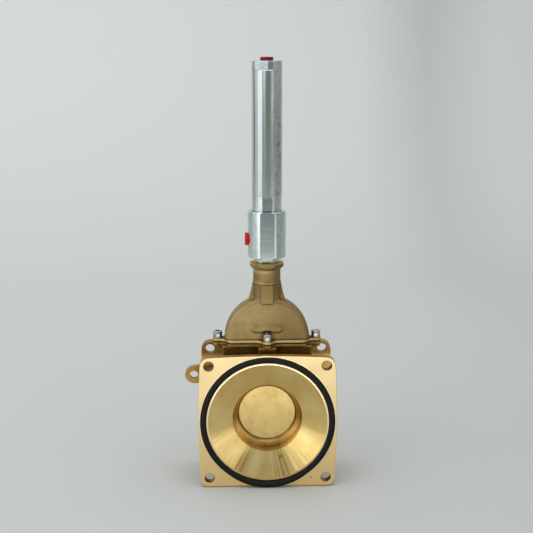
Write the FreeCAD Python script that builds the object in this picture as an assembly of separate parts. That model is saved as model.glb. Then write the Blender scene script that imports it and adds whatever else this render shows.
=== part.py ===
import FreeCAD
import Part
import math
import os

from FreeCAD import Vector

# Brass slide gate valve worked by a double-acting hydraulic cylinder.
# Millimetres. The origin is the centre of the inlet flange's face, +Y runs along the
# bore towards the outlet and +Z up along the stem. The gate is modelled closed.

# Flanges
flange_width = 152.0
flange_thickness = 10.0
face_to_face = 80.0
flange_corner_radius = 10.0
flange_swell = 1.0
flange_bow = 2.6
flange_edge_chamfer = 0.6
bolt_hole_diameter = 11.0
bolt_hole_chamfer = 0.4
bolt_edge_distance = 11.0

# Ring seal in the inlet flange's face
face_ring_section = 7.0
face_ring_proud = 2.1
face_groove_clearance = 0.05
face_groove_edge_wall = 0.85
funnel_rim_width = 1.8

# Flow passage
port_diameter = 78.2
funnel_depth = 14.0
funnel_wall = 7.0
inlet_hub_diameter = 91.0
outlet_hub_wall = 8.0
hub_fillet = 3.0
seat_ring_width = 7.1

# Gate, seats and their seals
gate_thickness = 12.0
gate_edge_round = 1.0
gate_overlap = 2.4
gate_open_margin = 1.5
gate_seat_gap = 0.1
gate_chamber_gap = 0.3
seat_pocket_step = 0.5
seat_fit = 0.02
seat_ring_depth = 4.2
seat_ring_chamfer = 1.4
seat_seal_section = 2.5
seat_seal_proud = 0.05
seat_seal_land = 2.4

# Body casting round the gate
chamber_clearance = 1.5
chamber_rim_wall = 7.0
chamber_face_wall = 6.7
chamber_edge_round = 3.0

# Joint between body and bonnet
joint_margin = 7.5
body_plate_thickness = 4.0
gasket_thickness = 1.0
bonnet_plate_thickness = 4.0
plate_side_margin = 2.0
plate_corner_radius = 8.0
plate_end_inset = 4.0
plate_blend = 9.0
plate_arm_half_width = 4.0
plate_edge_round = 0.8
body_plate_round = 2.0
screw_diameter = 6.0
screw_head_diameter = 10.0
screw_head_height = 6.0
screw_socket_across_flats = 5.0
screw_socket_depth = 3.2
screw_length = 12.0
screw_hole_clearance = 0.3
screw_thread_clearance = 0.05
screw_tip_gap = 2.0
screw_lobe_radius = 5.8
end_screw_offset = 5.3
front_screw_offset = 5.0
screw_boss_depth = 13.0
screw_boss_width = 20.2
screw_boss_step = 0.5
screw_boss_corner = 4.0
end_boss_depth = 1.0
end_boss_step = 0.6
washer_thickness = 1.6
washer_diameter = 10.0
washer_split = 0.9

# Pivot ear for a hand lever, on the left of the body
ear_hole_diameter = 9.2
ear_radius = 10.0
ear_thickness = 6.0
ear_reach_past_flange = 6.6
ear_height = 44.2
ear_rise = 4.0
ear_edge_round = 0.8

# Bonnet
dome_growth = 0.3
dome_wall = 4.2
dome_round = 5.0
dome_side_gap = 0.2
screw_pocket_clearance = 1.5
screw_pocket_height = 9.5
label_pad_length = 34.0
label_pad_height = 7.0
label_pad_rise = 12.5
label_pad_proud = 1.2
neck_diameter = 30.6
neck_height = 16.2
neck_runout = 2.6
neck_foot_step = 0.5
neck_foot_rise = 1.6
neck_rib_thickness = 9.0
neck_rib_step = 0.6
neck_rib_flare = 5.0
neck_rib_sweep = 4.5
neck_pad_width = 14.2
neck_pad_drop = 22.5
neck_pad_corner = 2.0
neck_pad_proud = 3.6
lip_across_flats = 37.0
lip_height = 3.2
lip_underside = 4.1
gland_diameter = 18.0
gland_floor = 3.0
gland_bush_height = 12.0
rod_seal_height = 5.6
scraper_height = 4.0
scraper_end_gap = 0.3
spigot_end_gap = 0.6
neck_thread_depth = 13.3

# Rod, and its foot in the gate's lug
rod_diameter = 12.0
rod_running_clearance = 0.05
rod_wall_clearance = 0.5
rod_foot_width = 18.0
rod_foot_depth = 11.6
rod_foot_height = 5.0
rod_shoulder_gap = 1.0
link_clearance = 0.25
lug_width = 28.0
lug_floor_rise = 0.2
lug_lip = 4.0
lug_corner_radius = 2.5
static_fit = 0.03

# Cylinder head at the rod end
head_spigot_diameter = 24.6
head_standoff = 5.9
head_diameter = 42.2
head_height = 52.1
head_flat_width = 15.5
head_edge_chamfer = 1.0
head_boss_diameter = 32.8
head_boss_height = 16.1
head_boss_flat_width = 10.7
head_spigot_flat_width = 11.8
head_insert = 15.1
annulus_diameter = 18.0
rod_guide_length = 32.5
head_groove_diameter = 17.6
guide_ring_rise = 4.0
guide_ring_height = 6.0
head_seal_rise = 16.0
head_seal_height = 6.0

# Ports and their plugs
port_diameter_threaded = 11.8
port_spot_diameter = 16.4
port_spot_depth = 2.1
port_height_on_head = 20.1
cap_port_depth = 11.0
cap_passage_diameter = 6.0
plug_head_diameter = 14.4
side_plug_head_height = 5.3
top_plug_head_height = 4.0
plug_stem_length = 8.0
plug_stem_clearance = 0.1
plug_stem_wall = 1.6
plug_flange_height = 1.4
plug_flange_step = 0.7
plug_edge_chamfer = 0.6
plug_tip_chamfer = 0.6
plug_bar_overlap = 0.2
plug_recess_diameter = 9.0
plug_recess_depth = 1.2
plug_bar_width = 2.0

# Cylinder tube, piston and end cap
tube_outer_diameter = 33.4
tube_wall = 2.7
piston_length = 18.0
piston_clearance = 0.1
piston_bottom_gap = 3.0
piston_seal_rise = 10.0
piston_seal_width = 4.5
piston_seal_depth = 3.0
wear_ring_rise = 3.0
wear_ring_width = 4.0
wear_ring_depth = 1.5
ring_side_clearance = 0.05
rod_stud_diameter = 8.0
rod_stud_chamfer = 0.8
nut_height = 6.5
nut_across_flats = 13.0
rod_tail = 2.5
stroke_end_gap = 7.0
cap_insert = 17.6
cap_recess_diameter = 18.0
cap_recess_depth = 8.5
cap_height = 9.8
cap_flat_width = 17.6
cap_flat_angle = 10.0
cap_edge_chamfer = 0.6
tube_ring_section = 2.5
tube_ring_groove_width = 3.2
tube_ring_setback = 4.0

# Worked out from the sizes above
stem_y = face_to_face / 2
half_flange = flange_width / 2
bolt_pitch = flange_width - 2 * bolt_edge_distance
port_radius = port_diameter / 2
seat_bore_radius = port_radius - seat_ring_width

groove_outer_radius = half_flange - face_groove_edge_wall
groove_inner_radius = groove_outer_radius - face_ring_section - 2 * face_groove_clearance
groove_depth = face_ring_section - face_ring_proud
mouth_radius = groove_inner_radius - funnel_rim_width

gate_half = gate_thickness / 2
gate_radius = port_radius + gate_overlap
gate_travel = gate_radius + seat_bore_radius + gate_open_margin
seat_face = gate_half + gate_seat_gap
seat_ring_radius = port_radius + seat_pocket_step
seat_seal_radius = seat_bore_radius + seat_seal_land + seat_seal_section / 2
chamber_half_gap = gate_half + gate_chamber_gap
chamber_inner_radius = gate_radius + chamber_clearance
chamber_radius = chamber_inner_radius + chamber_rim_wall
chamber_half = chamber_half_gap + chamber_face_wall

joint_height = gate_travel + joint_margin
gasket_top = joint_height + gasket_thickness
plate_top = gasket_top + bonnet_plate_thickness
plate_half_width = chamber_half + plate_side_margin
end_screw_x = chamber_radius + end_screw_offset
front_screw_y = chamber_half + front_screw_offset

dome_inner_radius = chamber_inner_radius + dome_growth
dome_radius = dome_inner_radius + dome_wall
dome_half_gap = chamber_half_gap + dome_side_gap
dome_top = plate_top + dome_radius
neck_radius = neck_diameter / 2
neck_shoulder = dome_top + neck_height
neck_pad_bottom = neck_shoulder - neck_pad_drop
gland_bottom = dome_top + gland_floor
gland_bush_top = gland_bottom + gland_bush_height
rod_seal_top = gland_bush_top + rod_seal_height
scraper_top = rod_seal_top + scraper_height
spigot_seat = scraper_top + scraper_end_gap
spigot_bottom = spigot_seat + spigot_end_gap
neck_top = spigot_bottom + neck_thread_depth

lug_floor = gate_radius + lug_floor_rise
lug_slot_top = lug_floor + rod_foot_height + 2 * link_clearance
lug_top = lug_slot_top + lug_lip

head_bottom = neck_top + head_standoff
head_top = head_bottom + head_height
tube_bottom = head_top + head_boss_height
head_insert_top = tube_bottom + head_insert
head_radius = head_diameter / 2
port_height = head_bottom + port_height_on_head
port_face_x = port_spot_depth - head_radius
bore_change = spigot_bottom + rod_guide_length

tube_radius = tube_outer_diameter / 2
tube_bore_radius = tube_radius - tube_wall
insert_radius = tube_bore_radius - static_fit
piston_bottom = head_insert_top + piston_bottom_gap
piston_top = piston_bottom + piston_length
piston_radius = tube_bore_radius - piston_clearance
nut_top = piston_top + nut_height
rod_top = nut_top + rod_tail
cap_insert_bottom = piston_top + gate_travel + stroke_end_gap
cap_bottom = cap_insert_bottom + cap_insert
cap_top = cap_bottom + cap_height
rod_radius = rod_diameter / 2
rod_hole_radius = rod_radius + rod_running_clearance


def box(x0, x1, y0, y1, z0, z1):
    """A block between two corners, given as pairs of limits."""
    return Part.makeBox(x1 - x0, y1 - y0, z1 - z0, Vector(x0, y0, z0))


def rod_z(radius, z0, z1, x=0.0, y=None):
    """An upright cylinder, on the stem axis unless placed elsewhere."""
    return Part.makeCylinder(radius, z1 - z0, Vector(x, stem_y if y is None else y, z0))


def rod_y(radius, y0, y1, x=0.0, z=0.0):
    """A cylinder lying along the bore."""
    return Part.makeCylinder(radius, y1 - y0, Vector(x, y0, z), Vector(0, 1, 0))


def turned_z(profile):
    """Revolves a closed profile of (radius, height) points about the stem."""
    points = [Vector(r, stem_y, z) for r, z in profile]
    face = Part.Face(Part.makePolygon(points + points[:1]))
    return face.revolve(Vector(0, stem_y, 0), Vector(0, 0, 1), 360)


def turned_y(profile):
    """Revolves a closed profile of (radius, distance along the bore) points."""
    points = [Vector(r, y, 0) for r, y in profile]
    face = Part.Face(Part.makePolygon(points + points[:1]))
    return face.revolve(Vector(0, 0, 0), Vector(0, 1, 0), 360)


def prism_z(sides, across_flats, z0, z1, x=0.0, y=None, turn=0.0):
    """A regular prism standing on z0, with a flat facing -Y when turn is zero."""
    corner = across_flats / 2 / math.cos(math.pi / sides)
    centre_y = stem_y if y is None else y
    points = []
    for index in range(sides):
        angle = math.radians(turn - 90) + math.pi * (2 * index + 1) / sides
        points.append(Vector(x + corner * math.cos(angle), centre_y + corner * math.sin(angle), z0))
    face = Part.Face(Part.makePolygon(points + points[:1]))
    return face.extrude(Vector(0, 0, z1 - z0))


def rounded_block(width, height, radius, y0, y1, x=0.0, z=0.0):
    """A plate across the bore with rounded corners, centred on (x, z)."""
    block = box(x - width / 2, x + width / 2, y0, y1, z - height / 2, z + height / 2)
    corners = [e for e in block.Edges if abs(e.tangentAt(e.FirstParameter).y) > 0.9]
    return block.makeFillet(radius, corners)


def tongue(radius, half_depth, top, edge_round=0.0):
    """The round-bottomed shape that the gate slides in, from its top edge down."""
    y0 = stem_y - half_depth
    left = Vector(-radius, y0, 0)
    right = Vector(radius, y0, 0)
    left_top = Vector(-radius, y0, top)
    right_top = Vector(radius, y0, top)
    wire = Part.Wire([
        Part.LineSegment(left_top, left).toShape(),
        Part.Arc(left, Vector(0, y0, -radius), right).toShape(),
        Part.LineSegment(right, right_top).toShape(),
        Part.LineSegment(right_top, left_top).toShape(),
    ])
    solid = Part.Face(wire).extrude(Vector(0, 2 * half_depth, 0))
    if edge_round:
        rims = []
        for edge in solid.Edges:
            across = abs(edge.tangentAt(edge.FirstParameter).y) > 0.9
            if not across and edge.BoundBox.ZMin < top - 1:
                rims.append(edge)
        solid = solid.makeFillet(edge_round, rims)
    return solid


def half_dome(radius, half_depth, base, edge_round=0.0):
    """The half-round shape above the joint, standing on its base plane."""
    y0 = stem_y - half_depth
    left = Vector(-radius, y0, base)
    right = Vector(radius, y0, base)
    wire = Part.Wire([
        Part.Arc(left, Vector(0, y0, base + radius), right).toShape(),
        Part.LineSegment(right, left).toShape(),
    ])
    solid = Part.Face(wire).extrude(Vector(0, 2 * half_depth, 0))
    if edge_round:
        rims = [e for e in solid.Edges if e.Curve.TypeId == "Part::GeomCircle"]
        solid = solid.makeFillet(edge_round, rims)
    return solid


def screw_places():
    """The four bonnet screws: left, right, front and back."""
    return [
        (-end_screw_x, stem_y),
        (end_screw_x, stem_y),
        (0.0, stem_y - front_screw_y),
        (0.0, stem_y + front_screw_y),
    ]


def joint_outline():
    """The waved four-lobed outline that body, gasket and bonnet share, as a face on z = 0."""
    half_x = chamber_radius - plate_end_inset
    middle = box(-half_x, half_x, stem_y - plate_half_width, stem_y + plate_half_width, 0, 1)
    corners = [e for e in middle.Edges if abs(e.tangentAt(e.FirstParameter).z) > 0.9]
    middle = middle.makeFillet(plate_corner_radius, corners)
    lobes = [rod_z(screw_lobe_radius, 0, 1, x, y) for x, y in screw_places()]
    lobes.append(box(-end_screw_x, end_screw_x, stem_y - plate_arm_half_width,
                     stem_y + plate_arm_half_width, 0, 1))
    whole = middle.multiFuse(lobes).removeSplitter()
    for face in whole.Faces:
        if face.BoundBox.ZMax < 1e-6:
            return face.makeOffset2D(plate_blend).makeOffset2D(-plate_blend)
    raise ValueError("the joint has no outline")


def joint_plate(z0, z1, round_top=0.0, round_bottom=0.0):
    """A plate of the joint's outline, with its opening left closed."""
    face = joint_outline()
    face.translate(Vector(0, 0, z0))
    plate = face.Faces[0].extrude(Vector(0, 0, z1 - z0))
    for level, radius in ((z1, round_top), (z0, round_bottom)):
        if radius:
            rim = []
            for edge in plate.Edges:
                if edge.BoundBox.ZLength < 1e-4 and abs(edge.CenterOfMass.z - level) < 1e-4:
                    rim.append(edge)
            plate = plate.makeFillet(radius, rim)
    return plate


def flange_blank(y0):
    """A square plate with a straight foot; its top and sides are slightly bowed, as cast."""
    side = half_flange + flange_swell
    corner_x = side - flange_bow
    corner_z = half_flange - flange_bow
    low_left = Vector(-corner_x, y0, -half_flange)
    low_right = Vector(corner_x, y0, -half_flange)
    high_left = Vector(-corner_x, y0, corner_z)
    high_right = Vector(corner_x, y0, corner_z)
    wire = Part.Wire([
        Part.LineSegment(low_left, low_right).toShape(),
        Part.Arc(low_right, Vector(side, y0, 0), high_right).toShape(),
        Part.Arc(high_right, Vector(0, y0, half_flange), high_left).toShape(),
        Part.Arc(high_left, Vector(-side, y0, 0), low_left).toShape(),
    ])
    plate = Part.Face(wire).extrude(Vector(0, flange_thickness, 0))
    corners = [e for e in plate.Edges if abs(e.tangentAt(e.FirstParameter).y) > 0.9]
    return plate.makeFillet(flange_corner_radius, corners)


def flange(y0):
    """One flange with its four bolt holes and broken edges."""
    y1 = y0 + flange_thickness
    plate = flange_blank(y0)
    rims = [e for e in plate.Edges if abs(e.tangentAt(e.FirstParameter).y) < 0.1]
    plate = plate.makeChamfer(flange_edge_chamfer, rims)
    for x in (-bolt_pitch / 2, bolt_pitch / 2):
        for z in (-bolt_pitch / 2, bolt_pitch / 2):
            plate = plate.cut(rod_y(bolt_hole_diameter / 2, y0, y1, x, z))
    hole_rims = []
    for edge in plate.Edges:
        if edge.Curve.TypeId == "Part::GeomCircle" and abs(edge.Curve.Radius - bolt_hole_diameter / 2) < 1e-4:
            hole_rims.append(edge)
    return plate.makeChamfer(bolt_hole_chamfer, hole_rims)


def inlet_hub():
    """The conical neck behind the inlet flange, an even wall round the funnel."""
    slope = (mouth_radius - port_radius) / funnel_depth
    at_flange = mouth_radius - slope * flange_thickness + funnel_wall
    hub_radius = inlet_hub_diameter / 2
    cone_end = flange_thickness + (at_flange - hub_radius) / slope
    inside = stem_y - chamber_half_gap
    hub = turned_y([
        (0, flange_thickness / 2), (at_flange + hub_fillet, flange_thickness / 2),
        (at_flange + hub_fillet, flange_thickness), (at_flange, flange_thickness + hub_fillet),
        (hub_radius, cone_end + hub_fillet), (hub_radius, inside), (0, inside),
    ])
    return hub


def outlet_hub():
    """The straight neck in front of the outlet flange."""
    radius = seat_bore_radius + outlet_hub_wall
    start = stem_y + chamber_half_gap
    flange_back = face_to_face - flange_thickness
    middle = face_to_face - flange_thickness / 2
    foot = radius + hub_fillet
    return turned_y([
        (0, start), (radius, start), (radius, flange_back - hub_fillet), (foot, flange_back),
        (foot, middle), (0, middle),
    ])


def lever_ear():
    """The arm on the left with a hole for a lever's pivot."""
    hole_x = -(half_flange + ear_reach_past_flange)
    root_x = -chamber_inner_radius - chamber_rim_wall / 2
    y0 = stem_y - ear_thickness / 2
    low = ear_height - ear_radius
    slope = math.atan2(ear_rise, root_x - hole_x)
    left = Vector(hole_x - ear_radius, y0, ear_height)
    under = Vector(hole_x, y0, low)
    over = Vector(hole_x - ear_radius * math.sin(slope), y0, ear_height + ear_radius * math.cos(slope))
    root_high = Vector(root_x, y0, over.z + math.tan(slope) * (root_x - over.x))
    root_low = Vector(root_x, y0, low)
    wire = Part.Wire([
        Part.LineSegment(root_low, under).toShape(),
        Part.Arc(under, left, over).toShape(),
        Part.LineSegment(over, root_high).toShape(),
        Part.LineSegment(root_high, root_low).toShape(),
    ])
    arm = Part.Face(wire).extrude(Vector(0, ear_thickness, 0))
    rims = []
    for edge in arm.Edges:
        across = abs(edge.tangentAt(edge.FirstParameter).y) > 0.9
        if not across and edge.BoundBox.XMin < root_x - 1:
            rims.append(edge)
    arm = arm.makeFillet(ear_edge_round, rims)
    return arm.cut(rod_y(ear_hole_diameter / 2, y0, y0 + ear_thickness, hole_x, ear_height))


def screw_bosses():
    """Metal under the body's plate that the bonnet screws bite into."""
    plate_bottom = joint_height - body_plate_thickness
    low = plate_bottom - screw_boss_depth
    end_low = plate_bottom - end_boss_depth
    high = joint_height - body_plate_thickness / 2
    reach_x = chamber_inner_radius + chamber_rim_wall / 2
    reach_y = chamber_half_gap + chamber_face_wall / 2
    round_side = screw_lobe_radius - screw_boss_step
    end_side = screw_lobe_radius - end_boss_step
    bosses = rod_z(end_side, end_low, high, end_screw_x, stem_y)
    bosses = bosses.fuse(rod_z(end_side, end_low, high, -end_screw_x, stem_y))
    for side in (-1, 1):
        x0, x1 = sorted((side * reach_x, side * end_screw_x))
        bosses = bosses.fuse(box(x0, x1, stem_y - end_side, stem_y + end_side, end_low, high))
        y0, y1 = sorted((stem_y + side * reach_y, stem_y + side * (front_screw_y + round_side)))
        front = box(-screw_boss_width / 2, screw_boss_width / 2, y0, y1, low, high)
        outer = stem_y + side * (front_screw_y + round_side)
        corners = []
        for edge in front.Edges:
            upright = abs(edge.tangentAt(edge.FirstParameter).z) > 0.9
            if upright and abs(edge.CenterOfMass.y - outer) < 0.01:
                corners.append(edge)
        bosses = bosses.fuse(front.makeFillet(screw_boss_corner, corners))
    return bosses


def valve_body():
    """The one-piece casting: both flanges, hubs, gate chamber, joint plate and ear."""
    plate_bottom = joint_height - body_plate_thickness
    body = tongue(chamber_radius, chamber_half, joint_height - body_plate_thickness / 2, chamber_edge_round)
    body = body.fuse(flange(0)).fuse(flange(face_to_face - flange_thickness))
    body = body.fuse(inlet_hub()).fuse(outlet_hub())
    body = body.fuse(lever_ear()).fuse(screw_bosses())
    body = body.fuse(joint_plate(plate_bottom, joint_height, 0, body_plate_round))
    body = body.cut(tongue(chamber_inner_radius, chamber_half_gap, joint_height))

    body = body.cut(turned_y([
        (0, -1), (mouth_radius, -1), (mouth_radius, 0), (port_radius, funnel_depth),
        (port_radius, stem_y), (0, stem_y),
    ]))
    body = body.cut(rod_y(seat_bore_radius, stem_y, face_to_face))
    pocket = seat_ring_radius + seat_fit
    depth = seat_face + seat_ring_depth
    body = body.cut(rod_y(pocket, stem_y - depth, stem_y + depth))

    body = body.cut(turned_y([
        (groove_inner_radius, -1), (groove_outer_radius, -1),
        (groove_outer_radius, groove_depth), (groove_inner_radius, groove_depth),
    ]))
    tapped = screw_diameter / 2 + screw_thread_clearance
    tap_bottom = plate_top + washer_thickness - screw_length - screw_tip_gap
    for x, y in screw_places():
        body = body.cut(rod_z(tapped, tap_bottom, joint_height, x, y))
    return body.removeSplitter()


def face_ring():
    """The rubber ring that seals the inlet flange, lying on the floor of its groove."""
    middle = (groove_inner_radius + groove_outer_radius) / 2
    centre = Vector(0, groove_depth - face_ring_section / 2, 0)
    return Part.makeTorus(middle, face_ring_section / 2, centre, Vector(0, 1, 0))


def seat_ring(side):
    """A brass seat ring with a chamfered bore and a groove for its rubber ring."""
    face = stem_y + side * seat_face
    back = face + side * seat_ring_depth
    groove_floor = face + side * (seat_seal_section - seat_seal_proud)
    groove_inner = seat_seal_radius - seat_seal_section / 2 - static_fit
    groove_outer = seat_seal_radius + seat_seal_section / 2 + static_fit
    return turned_y([
        (seat_bore_radius, face), (groove_inner, face), (groove_inner, groove_floor),
        (groove_outer, groove_floor), (groove_outer, face), (seat_ring_radius, face),
        (seat_ring_radius, back), (seat_bore_radius + seat_ring_chamfer, back),
        (seat_bore_radius, back - side * seat_ring_chamfer),
    ])


def seat_seal(side):
    """The round rubber ring in a seat's groove, against the gate."""
    centre = stem_y + side * (seat_face + seat_seal_section / 2 - seat_seal_proud)
    return Part.makeTorus(seat_seal_radius, seat_seal_section / 2, Vector(0, centre, 0), Vector(0, 1, 0))


def gate():
    """The brass disc with a slotted lug on top that hooks onto the rod's foot."""
    y0 = stem_y - gate_half
    y1 = stem_y + gate_half
    half_lug = lug_width / 2
    foot_half = rod_foot_width / 2 + link_clearance
    neck_half = rod_radius + link_clearance
    disc = rod_y(gate_radius, y0, y1)
    rims = [e for e in disc.Edges if e.Curve.TypeId == "Part::GeomCircle"]
    disc = disc.makeChamfer(gate_edge_round, rims)
    lug = box(-half_lug, half_lug, y0, y1, gate_radius / 2, lug_top)
    corners = []
    for edge in lug.Edges:
        across = abs(edge.tangentAt(edge.FirstParameter).y) > 0.9
        if across and edge.CenterOfMass.z > lug_top - 1:
            corners.append(edge)
    lug = lug.makeFillet(lug_corner_radius, corners)
    plate = disc.fuse(lug)
    plate = plate.cut(box(-foot_half, foot_half, y0 - 1, y1 + 1, lug_floor, lug_slot_top))
    plate = plate.cut(box(-neck_half, neck_half, y0 - 1, y1 + 1, lug_slot_top, lug_top))
    return plate.removeSplitter()


def neck():
    """The round neck: a little wider at its foot, which runs out into the dome's faces below the pads."""
    foot_radius = neck_radius + neck_foot_step
    foot_top = neck_shoulder + neck_foot_rise
    return turned_z([
        (0, neck_pad_bottom), (foot_radius - neck_runout, neck_pad_bottom),
        (foot_radius, neck_pad_bottom + neck_runout), (foot_radius, foot_top),
        (neck_radius, foot_top + neck_foot_step), (neck_radius, neck_top), (0, neck_top),
    ])


def neck_lip():
    """The octagonal lip at the top of the neck, turned down to a cone below."""
    low = neck_top - lip_height - lip_underside
    wide = lip_across_flats / 2 / math.cos(math.pi / 8)
    lip = prism_z(8, lip_across_flats, low, neck_top)
    envelope = turned_z([
        (0, low), (neck_radius, low), (wide, neck_top - lip_height), (wide, neck_top), (0, neck_top),
    ])
    return lip.common(envelope)


def neck_rib(side):
    """One flared rib from the neck's shoulder down to the dome, which it meets in a sweep."""
    y0 = stem_y - neck_rib_thickness / 2
    slim = neck_radius + neck_rib_step
    wide = neck_radius + neck_rib_flare
    toe = wide + neck_rib_sweep
    on_dome = plate_top + math.sqrt(dome_radius ** 2 - toe ** 2)
    start = Vector(side * slim, y0, neck_shoulder - neck_rib_step)
    end = Vector(side * wide, y0, dome_top - neck_rib_flare + neck_rib_sweep / 2)
    bend = Vector(side * (slim + (wide - slim) * 0.42), y0, (start.z + end.z) / 2)
    sweep = Vector(side * (wide + neck_rib_sweep * 0.36), y0, on_dome + (end.z - on_dome) * 0.3)
    foot = Vector(side * toe, y0, on_dome)
    root = Vector(side * toe, y0, on_dome - neck_rib_flare)
    inner = Vector(0, y0, root.z)
    apex = Vector(0, y0, neck_shoulder)
    corner = Vector(side * neck_radius, y0, neck_shoulder)
    wire = Part.Wire([
        Part.Arc(start, bend, end).toShape(),
        Part.Arc(end, sweep, foot).toShape(),
        Part.LineSegment(foot, root).toShape(),
        Part.LineSegment(root, inner).toShape(),
        Part.LineSegment(inner, apex).toShape(),
        Part.LineSegment(apex, corner).toShape(),
        Part.LineSegment(corner, start).toShape(),
    ])
    return Part.Face(wire).extrude(Vector(0, neck_rib_thickness, 0))


def bonnet():
    """The half-round upper casting that the open gate rises into, with the threaded neck."""
    shell = half_dome(dome_radius, chamber_half, plate_top, dome_round)
    shell = shell.fuse(joint_plate(gasket_top, plate_top, plate_edge_round, 0))
    shell = shell.fuse(neck()).fuse(neck_lip()).fuse(neck_rib(-1)).fuse(neck_rib(1))

    neck_pad_half = chamber_half + neck_pad_proud
    pad_middle = (neck_shoulder + neck_pad_bottom) / 2
    shell = shell.fuse(rounded_block(neck_pad_width, neck_pad_drop, neck_pad_corner,
                                     stem_y - neck_pad_half, stem_y + neck_pad_half, 0, pad_middle))
    label_half = chamber_half + label_pad_proud
    shell = shell.fuse(rounded_block(label_pad_length, label_pad_height, label_pad_height / 2 - 0.01,
                                     stem_y - label_half, stem_y, 0, plate_top + label_pad_rise))

    for x, y in screw_places():
        if x == 0:
            pocket = screw_head_diameter / 2 + screw_pocket_clearance
            shell = shell.cut(rod_z(pocket, plate_top, plate_top + screw_pocket_height, x, y))
        shell = shell.cut(rod_z(screw_diameter / 2 + screw_hole_clearance, gasket_top, plate_top, x, y))

    hollow = half_dome(dome_inner_radius, dome_half_gap, plate_top)
    hollow = hollow.fuse(box(-dome_inner_radius, dome_inner_radius, stem_y - dome_half_gap,
                             stem_y + dome_half_gap, gasket_top, plate_top))
    hollow = hollow.fuse(rod_z(rod_radius + rod_wall_clearance, plate_top, gland_bottom))
    hollow = hollow.fuse(rod_z(gland_diameter / 2, gland_bottom, spigot_seat))
    hollow = hollow.fuse(rod_z(head_spigot_diameter / 2 + static_fit, spigot_seat, neck_top))
    return shell.cut(hollow).removeSplitter()


def gasket():
    """The flat packing between body and bonnet."""
    sheet = joint_plate(joint_height, gasket_top)
    sheet = sheet.cut(box(-dome_inner_radius, dome_inner_radius, stem_y - dome_half_gap,
                          stem_y + dome_half_gap, joint_height, gasket_top))
    for x, y in screw_places():
        sheet = sheet.cut(rod_z(screw_diameter / 2 + screw_hole_clearance, joint_height, gasket_top, x, y))
    return sheet


def bonnet_screw(x, y, turn):
    """A socket-head cap screw standing on its washer."""
    seat = plate_top + washer_thickness
    top = seat + screw_head_height
    head = rod_z(screw_head_diameter / 2, seat, top, x, y)
    rim = [e for e in head.Edges if e.Curve.TypeId == "Part::GeomCircle" and e.CenterOfMass.z > seat + 1]
    head = head.makeChamfer(screw_head_diameter / 20, rim)
    socket = prism_z(6, screw_socket_across_flats, top - screw_socket_depth, top, x, y, turn)
    shank = rod_z(screw_diameter / 2, seat - screw_length, seat, x, y)
    tip = [e for e in shank.Edges if e.Curve.TypeId == "Part::GeomCircle" and e.CenterOfMass.z < seat - 1]
    shank = shank.makeChamfer(screw_diameter / 10, tip)
    return head.fuse(shank).cut(socket).removeSplitter()


def spring_washer(x, y, turn):
    """A split spring washer, pressed flat on the bonnet's plate."""
    top = plate_top + washer_thickness
    ring = rod_z(washer_diameter / 2, plate_top, top, x, y)
    ring = ring.cut(rod_z(screw_diameter / 2 + static_fit, plate_top, top, x, y))
    gap = Part.makeBox(washer_diameter, washer_split, washer_thickness,
                       Vector(x, y - washer_split / 2, plate_top))
    gap.rotate(Vector(x, y, 0), Vector(0, 0, 1), turn)
    return ring.cut(gap)


def lip_seal(outer_radius, z0, z1, lips_up):
    """A rod seal with a notch between its two lips."""
    middle = (rod_hole_radius + outer_radius) / 2
    mouth = (outer_radius - rod_hole_radius) / 5
    deep = (z1 - z0) / 2
    if lips_up:
        return turned_z([
            (rod_hole_radius, z0), (outer_radius, z0), (outer_radius, z1), (middle + mouth, z1),
            (middle, z1 - deep), (middle - mouth, z1), (rod_hole_radius, z1),
        ])
    return turned_z([
        (rod_hole_radius, z1), (rod_hole_radius, z0), (middle - mouth, z0), (middle, z0 + deep),
        (middle + mouth, z0), (outer_radius, z0), (outer_radius, z1),
    ])


def tube_z(inner_radius, outer_radius, z0, z1):
    """A plain sleeve on the stem axis."""
    return turned_z([(inner_radius, z0), (outer_radius, z0), (outer_radius, z1), (inner_radius, z1)])


def flats(radius, width, z0, z1, turn=0.0):
    """The two slivers to cut away for a pair of spanner flats."""
    distance = math.sqrt(radius * radius - width * width / 4)
    front = box(-radius, radius, stem_y - 2 * radius, stem_y - distance, z0, z1)
    back = box(-radius, radius, stem_y + distance, stem_y + 2 * radius, z0, z1)
    cutters = front.fuse(back)
    cutters.rotate(Vector(0, stem_y, 0), Vector(0, 0, 1), turn)
    return cutters


def tube_ring_groove(z):
    """The square groove for a round ring on a part that goes into the tube."""
    floor = tube_bore_radius - tube_ring_section
    half = tube_ring_groove_width / 2
    return tube_z(floor, tube_bore_radius + 1, z - half, z + half)


def tube_ring(z):
    """The round ring that seals the tube's bore against an inserted part."""
    return Part.makeTorus(tube_bore_radius - tube_ring_section / 2, tube_ring_section / 2, Vector(0, stem_y, z))


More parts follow.
